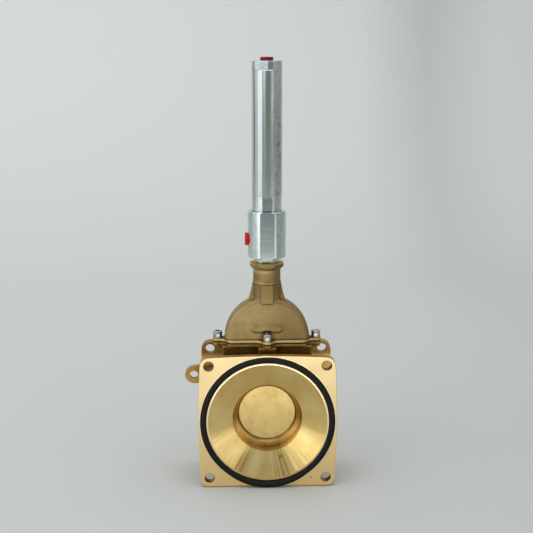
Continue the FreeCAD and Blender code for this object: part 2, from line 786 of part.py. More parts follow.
def cylinder_head():
    """The aluminium head at the rod end: threaded spigot, round body with flats, boss and insert."""
    spigot = head_spigot_diameter / 2
    boss = head_boss_diameter / 2
    edge = head_edge_chamfer
    head = turned_z([
        (0, spigot_bottom), (spigot - edge, spigot_bottom), (spigot, spigot_bottom + edge),
        (spigot, head_bottom), (head_radius - edge, head_bottom), (head_radius, head_bottom + edge),
        (head_radius, head_top - edge), (head_radius - edge, head_top), (boss, head_top),
        (boss, tube_bottom), (insert_radius, tube_bottom), (insert_radius, head_insert_top),
        (0, head_insert_top),
    ])
    head = head.cut(flats(head_radius, head_flat_width, head_bottom, head_top))
    head = head.cut(flats(boss, head_boss_flat_width, head_top, tube_bottom))
    head = head.cut(flats(spigot, head_spigot_flat_width, neck_top, head_bottom))
    head = head.cut(rod_z(rod_hole_radius, spigot_bottom, bore_change))
    head = head.cut(rod_z(annulus_diameter / 2, bore_change, head_insert_top))
    for rise, height in ((guide_ring_rise, guide_ring_height), (head_seal_rise, head_seal_height)):
        z0 = spigot_bottom + rise
        head = head.cut(rod_z(head_groove_diameter / 2, z0, z0 + height))
    head = head.cut(tube_ring_groove(head_insert_top - tube_ring_setback))
    start = Vector(-annulus_diameter / 4, stem_y, port_height)
    head = head.cut(Part.makeCylinder(port_diameter_threaded / 2, head_radius, start, Vector(-1, 0, 0)))
    spot = Vector(port_face_x, stem_y, port_height)
    return head.cut(Part.makeCylinder(port_spot_diameter / 2, head_radius, spot, Vector(-1, 0, 0)))


def cylinder_tube():
    """The drawn tube that the piston runs in."""
    tube = tube_z(tube_bore_radius, tube_radius, tube_bottom, cap_bottom)
    rims = []
    for edge in tube.Edges:
        if edge.Curve.TypeId == "Part::GeomCircle" and edge.Curve.Radius > tube_bore_radius + 1:
            rims.append(edge)
    return tube.makeChamfer(tube_wall / 8, rims)


def end_cap():
    """The cap that closes the tube, with its own port on top."""
    edge = cap_edge_chamfer
    cap = turned_z([
        (0, cap_insert_bottom), (insert_radius, cap_insert_bottom), (insert_radius, cap_bottom),
        (tube_radius, cap_bottom), (tube_radius, cap_top - edge), (tube_radius - edge, cap_top), (0, cap_top),
    ])
    cap = cap.cut(flats(tube_radius, cap_flat_width, cap_bottom, cap_top, -cap_flat_angle))
    cap = cap.cut(rod_z(port_diameter_threaded / 2, cap_top - cap_port_depth, cap_top))
    cap = cap.cut(rod_z(cap_passage_diameter / 2, cap_insert_bottom, cap_top - cap_port_depth))
    recess_top = cap_insert_bottom + cap_recess_depth
    cap = cap.cut(rod_z(cap_recess_diameter / 2, cap_insert_bottom, recess_top))
    return cap.cut(tube_ring_groove(cap_insert_bottom + tube_ring_setback))


def port_plug(head_height):
    """A red transport plug with a low flange, standing on z = 0 at the origin."""
    wide = plug_head_diameter / 2
    slim = wide - plug_flange_step
    stem = port_diameter_threaded / 2 - plug_stem_clearance
    bore = stem - plug_stem_wall
    recess = plug_recess_diameter / 2
    profile = [
        (0, 0), (bore, 0), (bore, -plug_stem_length),
        (stem - plug_tip_chamfer, -plug_stem_length),
        (stem, plug_tip_chamfer - plug_stem_length),
        (stem, 0), (wide, 0), (wide, plug_flange_height), (slim, plug_flange_height),
        (slim, head_height - plug_edge_chamfer), (slim - plug_edge_chamfer, head_height),
        (recess, head_height), (recess, head_height - plug_recess_depth), (0, head_height - plug_recess_depth),
    ]
    points = [Vector(r, 0, z) for r, z in profile]
    face = Part.Face(Part.makePolygon(points + points[:1]))
    plug = face.revolve(Vector(0, 0, 0), Vector(0, 0, 1), 360)
    reach = recess + plug_bar_overlap
    low = head_height - plug_recess_depth - plug_bar_overlap
    bar = box(-reach, reach, -plug_bar_width / 2, plug_bar_width / 2, low, head_height)
    return plug.fuse(bar).removeSplitter()


def side_port_plug():
    """The plug in the head's port, facing -X."""
    plug = port_plug(side_plug_head_height)
    plug.rotate(Vector(0, 0, 0), Vector(0, 1, 0), -90)
    plug.translate(Vector(port_face_x, stem_y, port_height))
    return plug


def top_port_plug():
    """The plug in the end cap's port, facing up."""
    plug = port_plug(top_plug_head_height)
    plug.translate(Vector(0, stem_y, cap_top))
    return plug


def piston_rod():
    """The stainless rod, from its flat-sided foot in the gate's lug to the stud through the piston."""
    foot_top = lug_floor + rod_foot_height
    half_width = rod_foot_width / 2
    half_depth = rod_foot_depth / 2
    foot = box(-half_width, half_width, stem_y - half_depth, stem_y + half_depth, lug_floor, foot_top)
    shoulder = lug_top + rod_shoulder_gap
    slim = rod_z(half_depth, lug_floor, shoulder)
    stem = rod_z(rod_radius, shoulder, piston_bottom)
    stud = rod_z(rod_stud_diameter / 2, piston_bottom, rod_top)
    end = [e for e in stud.Edges if e.Curve.TypeId == "Part::GeomCircle" and e.CenterOfMass.z > rod_top - 1]
    stud = stud.makeChamfer(rod_stud_chamfer, end)
    return foot.fuse(slim).fuse(stem).fuse(stud).removeSplitter()


def piston():
    """The aluminium piston on the rod's stud."""
    block = tube_z(rod_stud_diameter / 2 + static_fit, piston_radius, piston_bottom, piston_top)
    for rise, width, depth in (
        (piston_seal_rise, piston_seal_width, piston_seal_depth),
        (wear_ring_rise, wear_ring_width, wear_ring_depth),
    ):
        z0 = piston_bottom + rise
        block = block.cut(tube_z(piston_radius - depth, piston_radius + 1, z0, z0 + width))
    return block


def piston_band(rise, width, depth):
    """A flat ring filling a piston groove, just clear of the tube."""
    z0 = piston_bottom + rise
    inner = piston_radius - depth + static_fit
    outer = tube_bore_radius - piston_clearance / 2
    return tube_z(inner, outer, z0 + ring_side_clearance, z0 + width - ring_side_clearance)


def piston_nut():
    """The hexagon nut that holds the piston."""
    nut = prism_z(6, nut_across_flats, piston_top, nut_top)
    corner = nut_across_flats / math.sqrt(3)
    crown = turned_z([
        (0, piston_top), (corner + 0.1, piston_top), (corner + 0.1, nut_top - nut_height / 8),
        (corner - nut_height / 5, nut_top), (0, nut_top),
    ])
    return nut.common(crown).cut(rod_z(rod_stud_diameter / 2 + static_fit, piston_top, nut_top))


def head_guide_ring():
    """The plain bearing ring for the rod in the head."""
    z0 = spigot_bottom + guide_ring_rise
    return tube_z(rod_hole_radius, head_groove_diameter / 2 - static_fit,
                  z0 + ring_side_clearance, z0 + guide_ring_height - ring_side_clearance)


def head_rod_seal():
    """The pressure seal for the rod in the head."""
    z0 = spigot_bottom + head_seal_rise
    return lip_seal(head_groove_diameter / 2 - static_fit, z0 + ring_side_clearance,
                    z0 + head_seal_height - ring_side_clearance, True)


def all_parts():
    """Every named piece of the valve; a list holds separate solids of one node."""
    gland = gland_diameter / 2 - static_fit
    turns = (25, 70, 15, 50)
    places = screw_places()
    return {
        "valve_body": valve_body(),
        "flange_face_ring": face_ring(),
        "inlet_seat_ring": seat_ring(-1),
        "outlet_seat_ring": seat_ring(1),
        "inlet_seat_seal": seat_seal(-1),
        "outlet_seat_seal": seat_seal(1),
        "bonnet": bonnet(),
        "bonnet_gasket": gasket(),
        "bonnet_screws": [bonnet_screw(x, y, turn) for (x, y), turn in zip(places, turns)],
        "bonnet_washers": [spring_washer(x, y, turn * 5) for (x, y), turn in zip(places, turns)],
        "gland_bush": tube_z(rod_hole_radius, gland, gland_bottom, gland_bush_top),
        "neck_rod_seal": lip_seal(gland, gland_bush_top, rod_seal_top, False),
        "neck_scraper": lip_seal(gland, rod_seal_top, scraper_top, True),
        "gate": gate(),
        "piston_rod": piston_rod(),
        "cylinder_head": cylinder_head(),
        "head_guide_ring": head_guide_ring(),
        "head_rod_seal": head_rod_seal(),
        "head_tube_ring": tube_ring(head_insert_top - tube_ring_setback),
        "cylinder_tube": cylinder_tube(),
        "piston": piston(),
        "piston_seal": piston_band(piston_seal_rise, piston_seal_width, piston_seal_depth),
        "piston_wear_ring": piston_band(wear_ring_rise, wear_ring_width, wear_ring_depth),
        "piston_nut": piston_nut(),
        "end_cap": end_cap(),
        "cap_tube_ring": tube_ring(cap_insert_bottom + tube_ring_setback),
        "side_port_plug": side_port_plug(),
        "top_port_plug": top_port_plug(),
    }


def export(name, shape):
    """Writes one node; several solids go out together."""
    solids = shape if isinstance(shape, list) else [shape]
    whole = solids[0] if len(solids) == 1 else Part.makeCompound(solids)
    whole.exportStep("parts/" + name + ".step")
    print(name, "solids", len(whole.Solids), "valid", whole.isValid(), "volume", round(whole.Volume, 1))


def main():
    os.makedirs("parts", exist_ok=True)
    for name, shape in all_parts().items():
        export(name, shape)


main()
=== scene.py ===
"""Finishes, small fittings and a studio for a brass slide gate valve with a hydraulic cylinder."""

import math

import bmesh
import bpy
from mathutils import Matrix, Vector


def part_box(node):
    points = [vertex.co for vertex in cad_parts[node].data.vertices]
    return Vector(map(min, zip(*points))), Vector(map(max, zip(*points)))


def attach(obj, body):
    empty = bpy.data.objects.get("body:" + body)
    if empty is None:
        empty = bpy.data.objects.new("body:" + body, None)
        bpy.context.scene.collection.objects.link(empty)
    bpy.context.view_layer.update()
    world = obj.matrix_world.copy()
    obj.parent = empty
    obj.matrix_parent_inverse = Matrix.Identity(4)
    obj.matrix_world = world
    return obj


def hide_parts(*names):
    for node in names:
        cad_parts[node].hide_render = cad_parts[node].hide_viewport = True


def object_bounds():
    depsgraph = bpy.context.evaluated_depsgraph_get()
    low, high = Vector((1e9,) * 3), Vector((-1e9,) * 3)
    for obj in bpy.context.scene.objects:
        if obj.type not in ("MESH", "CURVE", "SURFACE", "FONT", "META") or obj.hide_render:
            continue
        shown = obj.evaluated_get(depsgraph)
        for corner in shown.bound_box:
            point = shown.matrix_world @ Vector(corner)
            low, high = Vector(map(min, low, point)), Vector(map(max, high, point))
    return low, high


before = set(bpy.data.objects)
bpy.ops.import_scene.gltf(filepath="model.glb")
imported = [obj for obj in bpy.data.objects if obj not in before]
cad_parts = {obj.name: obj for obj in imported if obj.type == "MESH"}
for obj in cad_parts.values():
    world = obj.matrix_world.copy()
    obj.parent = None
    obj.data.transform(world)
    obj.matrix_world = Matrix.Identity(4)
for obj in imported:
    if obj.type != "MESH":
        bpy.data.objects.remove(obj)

bl_info = {
    "name": "Slide gate valve",
    "version": (1, 0, 0),
    "blender": (4, 5, 0),
    "location": "3D View > Sidebar > Valve",
    "description": "Surface finishes, small fittings and a studio for a brass slide gate valve",
    "category": "Object",
}

MM = 0.001

# Places read from the frame, in metres.
CAD_LOW, CAD_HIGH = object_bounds()
BODY_LOW, BODY_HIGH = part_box("valve_body")
RING_LOW, RING_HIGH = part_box("flange_face_ring")
SEAT_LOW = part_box("inlet_seat_ring")[0]
BONNET_LOW, BONNET_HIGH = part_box("bonnet")
SCREWS_LOW, SCREWS_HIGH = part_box("bonnet_screws")
WASHERS_LOW, WASHERS_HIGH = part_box("bonnet_washers")
TUBE_LOW, TUBE_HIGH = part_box("cylinder_tube")
SIDE_PLUG_LOW, SIDE_PLUG_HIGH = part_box("side_port_plug")
TOP_PLUG_LOW, TOP_PLUG_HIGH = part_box("top_port_plug")
STEM_Y = (TUBE_LOW.y + TUBE_HIGH.y) / 2
FACE_TO_FACE = BODY_HIGH.y - BODY_LOW.y

# Zones of the body that are machined, in millimetres.
BOLT_HALF_PITCH = 65.0
BOLT_HOLE_RADIUS = 5.5
PORT_RADIUS = 39.1
BORE_RADIUS = 32.0
FUNNEL_DEPTH = 14.0
FUNNEL_SLOPE = 1.957
FUNNEL_MOUTH_RADIUS = 66.25
MACHINED_SKIN = 0.65
GROOVE_RADIUS = (RING_HIGH.x - RING_LOW.x) / 2 / MM

# Thickness of the flanges and height of the joint's plates, in millimetres.
FLANGE_THICKNESS = 10.0
PLATE_THICKNESS = 4.0
PLATE_FOOT = BODY_HIGH.z / MM - PLATE_THICKNESS
NECK_SHOULDER = BONNET_HIGH.z / MM - 22.6

# Places of single marks, in millimetres: where the lever ear and the flange's rounded foot begin, a pore in
# the inlet face and a stain in the funnel, and the radius past which the head and cap are turned barrels.
EAR_SIDE = -78.0
FLANGE_FOOT = -74.3
PORE_X, PORE_Z = 48.2, -65.0
STAIN_X, STAIN_Z = 14.8, -44.0
BARREL_RADIUS = 18.5


def linear(hex_colour):
    """An sRGB hex colour as the linear red, green, blue and alpha that a shader takes."""
    text = hex_colour.lstrip("#")
    channels = [int(text[i:i + 2], 16) / 255 for i in (0, 2, 4)]
    return [c / 12.92 if c <= 0.04045 else ((c + 0.055) / 1.055) ** 2.4 for c in channels] + [1.0]


def colour(default, name, description):
    """A colour property whose default is an sRGB hex value."""
    return bpy.props.FloatVectorProperty(
        name=name, description=description, default=linear(default),
        size=4, subtype="COLOR", min=0.0, max=1.0)


def length(default, name, description):
    """A length property in metres."""
    return bpy.props.FloatProperty(
        name=name, description=description, default=default, unit="LENGTH", subtype="DISTANCE", min=0.0)


class RingSizes(bpy.types.PropertyGroup):
    """The rubber ring in the inlet flange's face."""
    section: length(RING_HIGH.y - RING_LOW.y, "Section", "Thickness of the ring's round section")
    flash: length(0.06 * MM, "Flash", "Height of the moulding line round the ring")
    creep: length(2.4 * MM, "Creep", "How far the ring has come forward out of its groove at the foot")
    sag: length(0.9 * MM, "Sag", "How far the ring hangs down there")


class ScrewSizes(bpy.types.PropertyGroup):
    """The socket head screws that hold the bonnet, and their spring washers."""
    head_diameter: length(10 * MM, "Head diameter", "Outer diameter of the knurled head")
    head_height: length(6 * MM, "Head height", "Height of the head above its washer")
    socket_width: length(5 * MM, "Socket width", "Width across the flats of the hexagon socket")
    socket_depth: length(3.2 * MM, "Socket depth", "Depth of the hexagon socket")
    shank_diameter: length(6 * MM, "Shank diameter", "Outer diameter of the thread")
    knurl_depth: length(0.09 * MM, "Knurl depth", "Depth of the grooves of the straight knurl")
    washer_gap: bpy.props.FloatProperty(
        name="Washer gap", description="Angle of the split in a spring washer",
        default=math.radians(9), subtype="ANGLE", unit="ROTATION")


class PlugSizes(bpy.types.PropertyGroup):
    """The red plugs that close the cylinder's ports until it is piped."""
    head_diameter: length(14.4 * MM, "Head diameter", "Outer diameter of the plug's low flange")
    stem_diameter: length(11.6 * MM, "Stem diameter", "Outer diameter of the part inside the port")
    stem_length: length(8 * MM, "Stem length", "Length of the part inside the port")
    grip_depth: length(0.3 * MM, "Grip depth", "Depth of the flutes round the head")


class CastingSizes(bpy.types.PropertyGroup):
    """The surface of the sand-cast bonnet."""
    grid: length(0.85 * MM, "Grid", "Spacing of the mesh that the casting is drawn with")
    unevenness: length(0.12 * MM, "Unevenness", "Height of the waves that the sand mould leaves")


class MetalColours(bpy.types.PropertyGroup):
    """Colours of the metals."""
    casting: colour("#AA976C", "Casting", "Blasted skin of the sand casting")
    casting_dark: colour("#82693F", "Casting clouds", "Darker clouds of the blasted skin")
    body_skin: colour("#CBA65A", "Body casting", "Warmer skin of the body's casting")
    body_dark: colour("#A37B3C", "Body clouds", "Darker clouds of the body's casting")
    # Patina together with painted shade, deep in the body's recesses.
    recess: colour("#4A280E", "Recesses", "Patina deep in the body's recesses")
    # Belt-finished edges with painted light on them; this colour also paints the highlight on the neck's
    # step.
    dressed_and_lit: colour("#CDB374", "Dressed edge", "Edges of the joint's plates, dressed on a belt")
    machined: colour("#EAD5A5", "Machined brass", "Freshly cut faces of the body")
    # Painted light that lifts the lower part of the machined faces brighter and yellower.
    machined_foot_painted_light: colour("#FFDC9B", "Machined brass, low", "The same faces, tarnished towards their foot")
    turned: colour("#DAB66C", "Turned brass", "Turned cone, bore and seats")
    drilled: colour("#8F6632", "Drilled brass", "Walls of the bolt holes")
    ground: colour("#F6DB97", "Ground brass", "Face of the gate")
    aluminium: colour("#D3DAD9", "Aluminium", "Turned head and cap")
    tube: colour("#D8DEDC", "Drawn tube", "Cylinder tube")
    steel: colour("#CBC9C5", "Stainless steel", "Screws, rod and nut")


class SoftColours(bpy.types.PropertyGroup):
    """Colours of rubber, plastic and packing."""
    rubber: colour("#0E0D0B", "Nitrile rubber", "Rings and seals")
    plug: colour("#C60E12", "Red polyethylene", "Port plugs")
    gasket: colour("#2E2516", "Gasket fibre", "Packing between body and bonnet")
    bearing: colour("#C9B98F", "Bearing plastic", "Guide and wear rings")


class StudioSettings(bpy.types.PropertyGroup):
    """The studio round the valve."""
    paper: colour("#C5C7C6", "Paper", "Backdrop and floor")
    floor_size: length(6.0, "Floor size", "Width of the floor and backdrop")
    floor_front: length(1.25, "Floor front", "Distance from the valve to the paper's front edge")
    wall_distance: length(1.7, "Wall distance", "Distance from the valve to the wall behind it")


class ValveSettings(bpy.types.PropertyGroup):
    """All sizes and colours of the valve's visible finish."""
    ring: bpy.props.PointerProperty(type=RingSizes, name="Ring", description="Flange ring")
    screws: bpy.props.PointerProperty(type=ScrewSizes, name="Screws", description="Bonnet screws and washers")
    plugs: bpy.props.PointerProperty(type=PlugSizes, name="Plugs", description="Port plugs")
    casting: bpy.props.PointerProperty(type=CastingSizes, name="Casting", description="Bonnet casting")
    metals: bpy.props.PointerProperty(type=MetalColours, name="Metals", description="Metal colours")
    softs: bpy.props.PointerProperty(type=SoftColours, name="Soft parts", description="Rubber and plastics")
    studio: bpy.props.PointerProperty(type=StudioSettings, name="Studio", description="Floor and backdrop")


def connect(tree, value, socket):
    """Gives a socket a plain value or a hex colour, or links an output or a node's first open one to it."""
    if isinstance(value, str):
        value = linear(value)
    if isinstance(value, bpy.types.Node):
        value = next(output for output in value.outputs if output.enabled)
    if isinstance(value, bpy.types.NodeSocket):
        tree.links.new(value, socket)
    else:
        socket.default_value = value


def add(tree, kind, *values, sockets=None, **settings):
    """Adds a node with its settings and links. kind is its type without the words ShaderNode. Values go to
    its open sockets in their order, and sockets gives others by name."""
    node = tree.nodes.new("ShaderNode" + kind)
    for name, value in settings.items():
        setattr(node, name, value)
    open_sockets = [socket for socket in node.inputs if socket.enabled]
    for socket, value in zip(open_sockets, values):
        connect(tree, value, socket)
    for name, value in (sockets or {}).items():
        connect(tree, value, node.inputs[name])
    return node


def start_material(name, constants):
    """A material with one Principled shader, constants on its own sockets, and position in millimetres, so
    that the scale of a noise is 1 over the size of its lumps in millimetres."""
    material = bpy.data.materials.new(name)
    material.use_nodes = True
    tree = material.node_tree
    tree.nodes.clear()
    shader = add(tree, "BsdfPrincipled", sockets=constants)
    add(tree, "OutputMaterial", shader)
    position = add(tree, "TexCoord").outputs["Object"]
    millimetres = add(tree, "VectorMath", position, 1 / MM, operation="SCALE")
    return material, tree, shader, millimetres


def plug_in(tree, shader, sockets):
    """Links what was worked out to the shader's sockets."""
    for name, value in sockets.items():
        connect(tree, value, shader.inputs[name])


def all_of(tree, *masks):
    """Where all the masks meet. The later ones may be plain strengths."""
    whole = masks[0]
    for mask in masks[1:]:
        whole = add(tree, "Math", whole, mask, operation="MULTIPLY")
    return whole


def any_of(tree, *masks):
    """Where any of the masks is set."""
    whole = masks[0]
    for mask in masks[1:]:
        whole = add(tree, "Math", whole, mask, operation="MAXIMUM")
    return whole


def sum_of(tree, *parts):
    """The sum of patterns, each times its share."""
    total = None
    for pattern, share in parts:
        part = add(tree, "Math", pattern, share, operation="MULTIPLY")
        total = part if total is None else add(tree, "Math", total, part, operation="ADD")
    return total


def zone(tree, value, low=None, high=None, soft=0.15, soft_high=None):
    """1 where value lies between low and high, and 0 beyond. Either may be left open. The edges are soft."""
    edges = []
    if low is not None:
        edges.append(add(tree, "MapRange", value, low - soft, low + soft))
    if high is not None:
        soft = soft_high or soft
        edges.append(add(tree, "MapRange", value, high - soft, high + soft, 1.0, 0.0))
    return all_of(tree, *edges)


def spot(tree, x, z, centre_x, centre_z, radius_mm, soft=0.15):
    """1 inside a round spot in the view from the front, given by its centre in millimetres."""
    off_x = add(tree, "Math", x, centre_x, operation="SUBTRACT")
    off_z = add(tree, "Math", z, centre_z, operation="SUBTRACT")
    square_x = add(tree, "Math", off_x, off_x, operation="MULTIPLY")
    square_z = add(tree, "Math", off_z, off_z, operation="MULTIPLY")
    square = add(tree, "Math", square_x, square_z, operation="ADD")
    return zone(tree, add(tree, "Math", square, operation="SQRT"), high=radius_mm, soft=soft)


def tint(tree, tone, over, *masks):
    """Lays a colour over a tone where all the masks meet."""
    return add(tree, "Mix", all_of(tree, *masks), tone, over, data_type="RGBA")


def relief(tree, *layers):
    """The normal under layers of relief, each a height from 0 to 1 and its depth in millimetres."""
    lower = {}
    for height, depth_mm in layers:
        layer = {"Height": height, "Distance": depth_mm * MM, "Strength": 1.0}
        lower = {"Normal": add(tree, "Bump", sockets={**layer, **lower})}
    return lower["Normal"]


def outward(tree, mm, axis, centre=(0.0, 0.0, 0.0)):
    """The direction straight out from an axis, and the distance from it."""
    keep = {"Y": (1.0, 0.0, 1.0), "Z": (1.0, 1.0, 0.0)}[axis]
    moved = add(tree, "VectorMath", mm, centre, operation="SUBTRACT")
    flat = add(tree, "VectorMath", moved, keep, operation="MULTIPLY")
    radius = add(tree, "VectorMath", flat, operation="LENGTH")
    return add(tree, "VectorMath", flat, operation="NORMALIZE"), radius


def across_turning(tree, out, axis):
    """A tangent that lies across the cutting marks of a turned face, cone or bore."""
    along = [-0.5 * c for c in axis]
    return add(tree, "VectorMath", out, along, operation="ADD")


def scattered(tree, mm):
    """A tangent with no order, for a skin that has no cutting marks."""
    fine = add(tree, "VectorMath", mm, 40.0, operation="SCALE")
    grains = add(tree, "TexWhiteNoise", fine).outputs["Color"]
    return add(tree, "VectorMath", grains, (0.5, 0.5, 0.5), operation="SUBTRACT")


def worn_and_glinting_edges(tree, reach_mm):
    """1 along sharp outer edges, which handling rubs bright and where a painted highlight is laid, and 0 more
    than reach_mm away from them.
    """
    solid = add(tree, "AmbientOcclusion", sockets={"Distance": reach_mm * MM}, samples=8, inside=True)
    return add(tree, "MapRange", solid.outputs["AO"], 0.85, 0.5)


def openness(tree, reach_mm, closed, free):
    """0 in hollows whose walls stand within reach_mm, and 1 in the open. closed and free are shares of the
    sky that such places see."""
    sky = add(tree, "AmbientOcclusion", sockets={"Distance": reach_mm * MM}, samples=8)
    return add(tree, "MapRange", sky.outputs["AO"], closed, free)


def sideways(tree):
    """1 on walls that stand upright, 0 on level faces."""
    rise = add(tree, "SeparateXYZ", add(tree, "NewGeometry").outputs["Normal"]).outputs["Z"]
    return zone(tree, add(tree, "Math", rise, operation="ABSOLUTE"), high=0.6)


def cast_skin(tree, mm, light, dark, recess, reach_mm):
    """Colour, roughness and height of a blasted sand-cast skin: sand grain of about 0.9 mm, drawn a little
    coarser than the real sand so that it shows, on waves of a few millimetres, with edges rubbed light and a
    painted highlight on them, and patina and painted shade where the walls within reach_mm shelter it."""
    cloud = add(tree, "TexNoise", mm, 1 / 9.0, 3.0, 0.6)
    speck = add(tree, "TexNoise", mm, 1 / 1.6, 3.0, 0.7)
    sand = add(tree, "TexNoise", mm, 1 / 0.9, 2.0, 0.6)
    waves = add(tree, "TexNoise", mm, 1 / 4.5, 1.0)
    mixed = sum_of(tree, (cloud, 0.4), (speck, 0.6))
    tone = tint(tree, dark, light, add(tree, "MapRange", mixed, 0.35, 0.68))
    # Edges rubbed light, with a painted highlight along them.
    tone = tint(tree, tone, "#DCC48C", worn_and_glinting_edges(tree, 1.3))
    # Patina and painted shade in the hollows that walls within reach_mm shelter.
    tone = tint(tree, recess, tone, openness(tree, reach_mm, 0.35, 0.95))
    rough = add(tree, "MapRange", speck, 0.3, 0.7, 0.46, 0.6)
    return tone, rough, sum_of(tree, (sand, 1.0), (waves, 1.6))


def cast_and_machined_brass(colours):
    """Sand-cast brass with its flange faces, funnel and bores machined: the cast skin is dull and scatters
    light widely, the faces are pale and silky, and the turned cone throws fans of light across its marks,
    helped by painted fans of reflection at its foot."""
    material, tree, shader, mm = start_material(
        "cast_brass_with_machined_faces", {"Metallic": 1.0, "Anisotropic": 0.55})
    out, radius = outward(tree, mm, "Y")
    x, y, z = add(tree, "SeparateXYZ", mm).outputs
    rear = FACE_TO_FACE / MM
    inlet_side = zone(tree, y, high=FLANGE_THICKNESS)

    # What is machined: both faces, the funnel's cone, the two bores and the bolt holes.
    face = any_of(tree, zone(tree, y, high=MACHINED_SKIN), zone(tree, y, rear - MACHINED_SKIN))
    cone_radius = sum_of(tree, (radius, 1.0), (y, FUNNEL_SLOPE))
    funnel_depth = zone(tree, y, high=FUNNEL_DEPTH + 0.1)
    cone = all_of(tree, zone(tree, cone_radius, high=FUNNEL_MOUTH_RADIUS + 1.0), funnel_depth)
    inlet = all_of(tree, zone(tree, radius, high=PORT_RADIUS + 0.6), zone(tree, y, high=rear / 2))
    outlet = all_of(tree, zone(tree, radius, high=BORE_RADIUS + 0.6), zone(tree, y, rear / 2))
    wide = add(tree, "Math", x, operation="ABSOLUTE")
    high = add(tree, "Math", z, operation="ABSOLUTE")
    hole = spot(tree, wide, high, BOLT_HALF_PITCH, BOLT_HALF_PITCH, BOLT_HOLE_RADIUS + 0.3)
    turned = any_of(tree, cone, inlet, outlet)
    machined = any_of(tree, face, turned, hole)

    # Cast skin: patina and painted shade under the joint's plate and on its rim, painted shade in the rear
    # corner, the ear rubbed light, and painted light on the rear flange.
    cast_tone, cast_rough, cast_height = cast_skin(
        tree, mm, colours.body_skin, colours.body_dark, colours.recess, 12.0)
    between_flanges = zone(tree, y, FLANGE_THICKNESS + 1.0, rear - FLANGE_THICKNESS - 1.0)
    under_plate = zone(tree, z, 52.0, PLATE_FOOT, 12.0, 0.2)
    # Patina and painted shade under the plate, between the flanges.
    cast_tone = tint(tree, cast_tone, colours.recess, under_plate, between_flanges, 0.75)
    plate = zone(tree, z, PLATE_FOOT + 0.4, soft=0.3)
    # Patina and painted shade on the plate's upright rim.
    cast_tone = tint(tree, cast_tone, colours.recess, plate, between_flanges, sideways(tree), 0.3)
    cast_tone = tint(tree, cast_tone, "#E0BA70", zone(tree, x, high=EAR_SIDE, soft=1.0), 0.22)
    rear_part = zone(tree, y, rear - 20.0)
    upper_part = zone(tree, z, 64.0, soft=4.0)
    left_part = zone(tree, x, high=-50.0, soft=8.0)
    # Painted shade in the rear upper left corner.
    cast_tone = tint(tree, cast_tone, colours.recess, rear_part, upper_part, left_part, 0.4)
    rear_flange = zone(tree, y, rear - FLANGE_THICKNESS - 0.5)
    below_plate = zone(tree, z, high=58.0, soft=2.0)
    # Painted light on the rear flange below the plate.
    cast_tone = tint(tree, cast_tone, "#FFD88A", rear_flange, below_plate)

    # Milled face: painted light on its lower part, mottled, painted shade along its rounded foot, a painted
    # highlight round the ring's groove, and a pore.
    cloud = add(tree, "TexNoise", mm, 1 / 22.0, 3.0, 0.55)
    # Painted light: the lower part of the faces is lifted brighter and yellower.
    face_tone = tint(tree, colours.machined_foot_painted_light, colours.machined, add(tree, "MapRange", z, -70.0, 60.0))
    grain = add(tree, "TexNoise", mm, 1 / 1.5, 4.0, 0.75)
    face_tone = tint(tree, face_tone, "#DFBF88", add(tree, "MapRange", grain, 0.4, 0.66, 0.0, 0.3))
    # Painted shade along the flange's rounded foot, under the ring.
    face_tone = tint(tree, face_tone, "#9C7440", zone(tree, z, high=FLANGE_FOOT, soft=0.8), 0.6)
    # Painted highlight on the edge round the ring's groove.
    groove_edge_highlight = zone(tree, radius, GROOVE_RADIUS, GROOVE_RADIUS + 0.7, 0.1, 0.2)
    face_tone = tint(tree, face_tone, "#FFEDC0", groove_edge_highlight, inlet_side)
    pore = spot(tree, x, z, PORE_X, PORE_Z, 0.8, 0.3)
    face_tone = tint(tree, face_tone, "#4A3018", pore, inlet_side)

    # Turned bore: darker with depth, tarnished and in painted shade, lighter on the left wall as a painted
    # reflection, and a painted reflection on the right wall near the funnel.
    turned_tone = tint(tree, colours.turned, "#E6CC8C", add(tree, "MapRange", cloud, 0.3, 0.7))
    bore_tarnish_and_painted_light = tint(tree, "#C8964C", "#946226", add(tree, "MapRange", x, -30.0, 10.0))
    right_wall = zone(tree, x, 30.0, soft=6.0)
    near_funnel = zone(tree, y, high=FUNNEL_DEPTH + 8.0, soft=3.0)
    bore_tarnish_and_painted_light = tint(tree, bore_tarnish_and_painted_light, "#FFE0A0", right_wall, near_funnel)
    depth = add(tree, "MapRange", y, FUNNEL_DEPTH - 1.0, FUNNEL_DEPTH + 14.0)
    turned_tone = tint(tree, turned_tone, bore_tarnish_and_painted_light, depth, turned)

    # Turned funnel: fine scoured lines, a painted dark and a painted bright fan of reflection at its foot, a
    # stain, and a painted highlight on its lip. A fan is a range of the slope of the line from the axis.
    down = add(tree, "Math", z, -1.0, operation="MULTIPLY")
    far_down = add(tree, "Math", down, 20.0, operation="MAXIMUM")
    fan = add(tree, "Math", x, far_down, operation="DIVIDE")
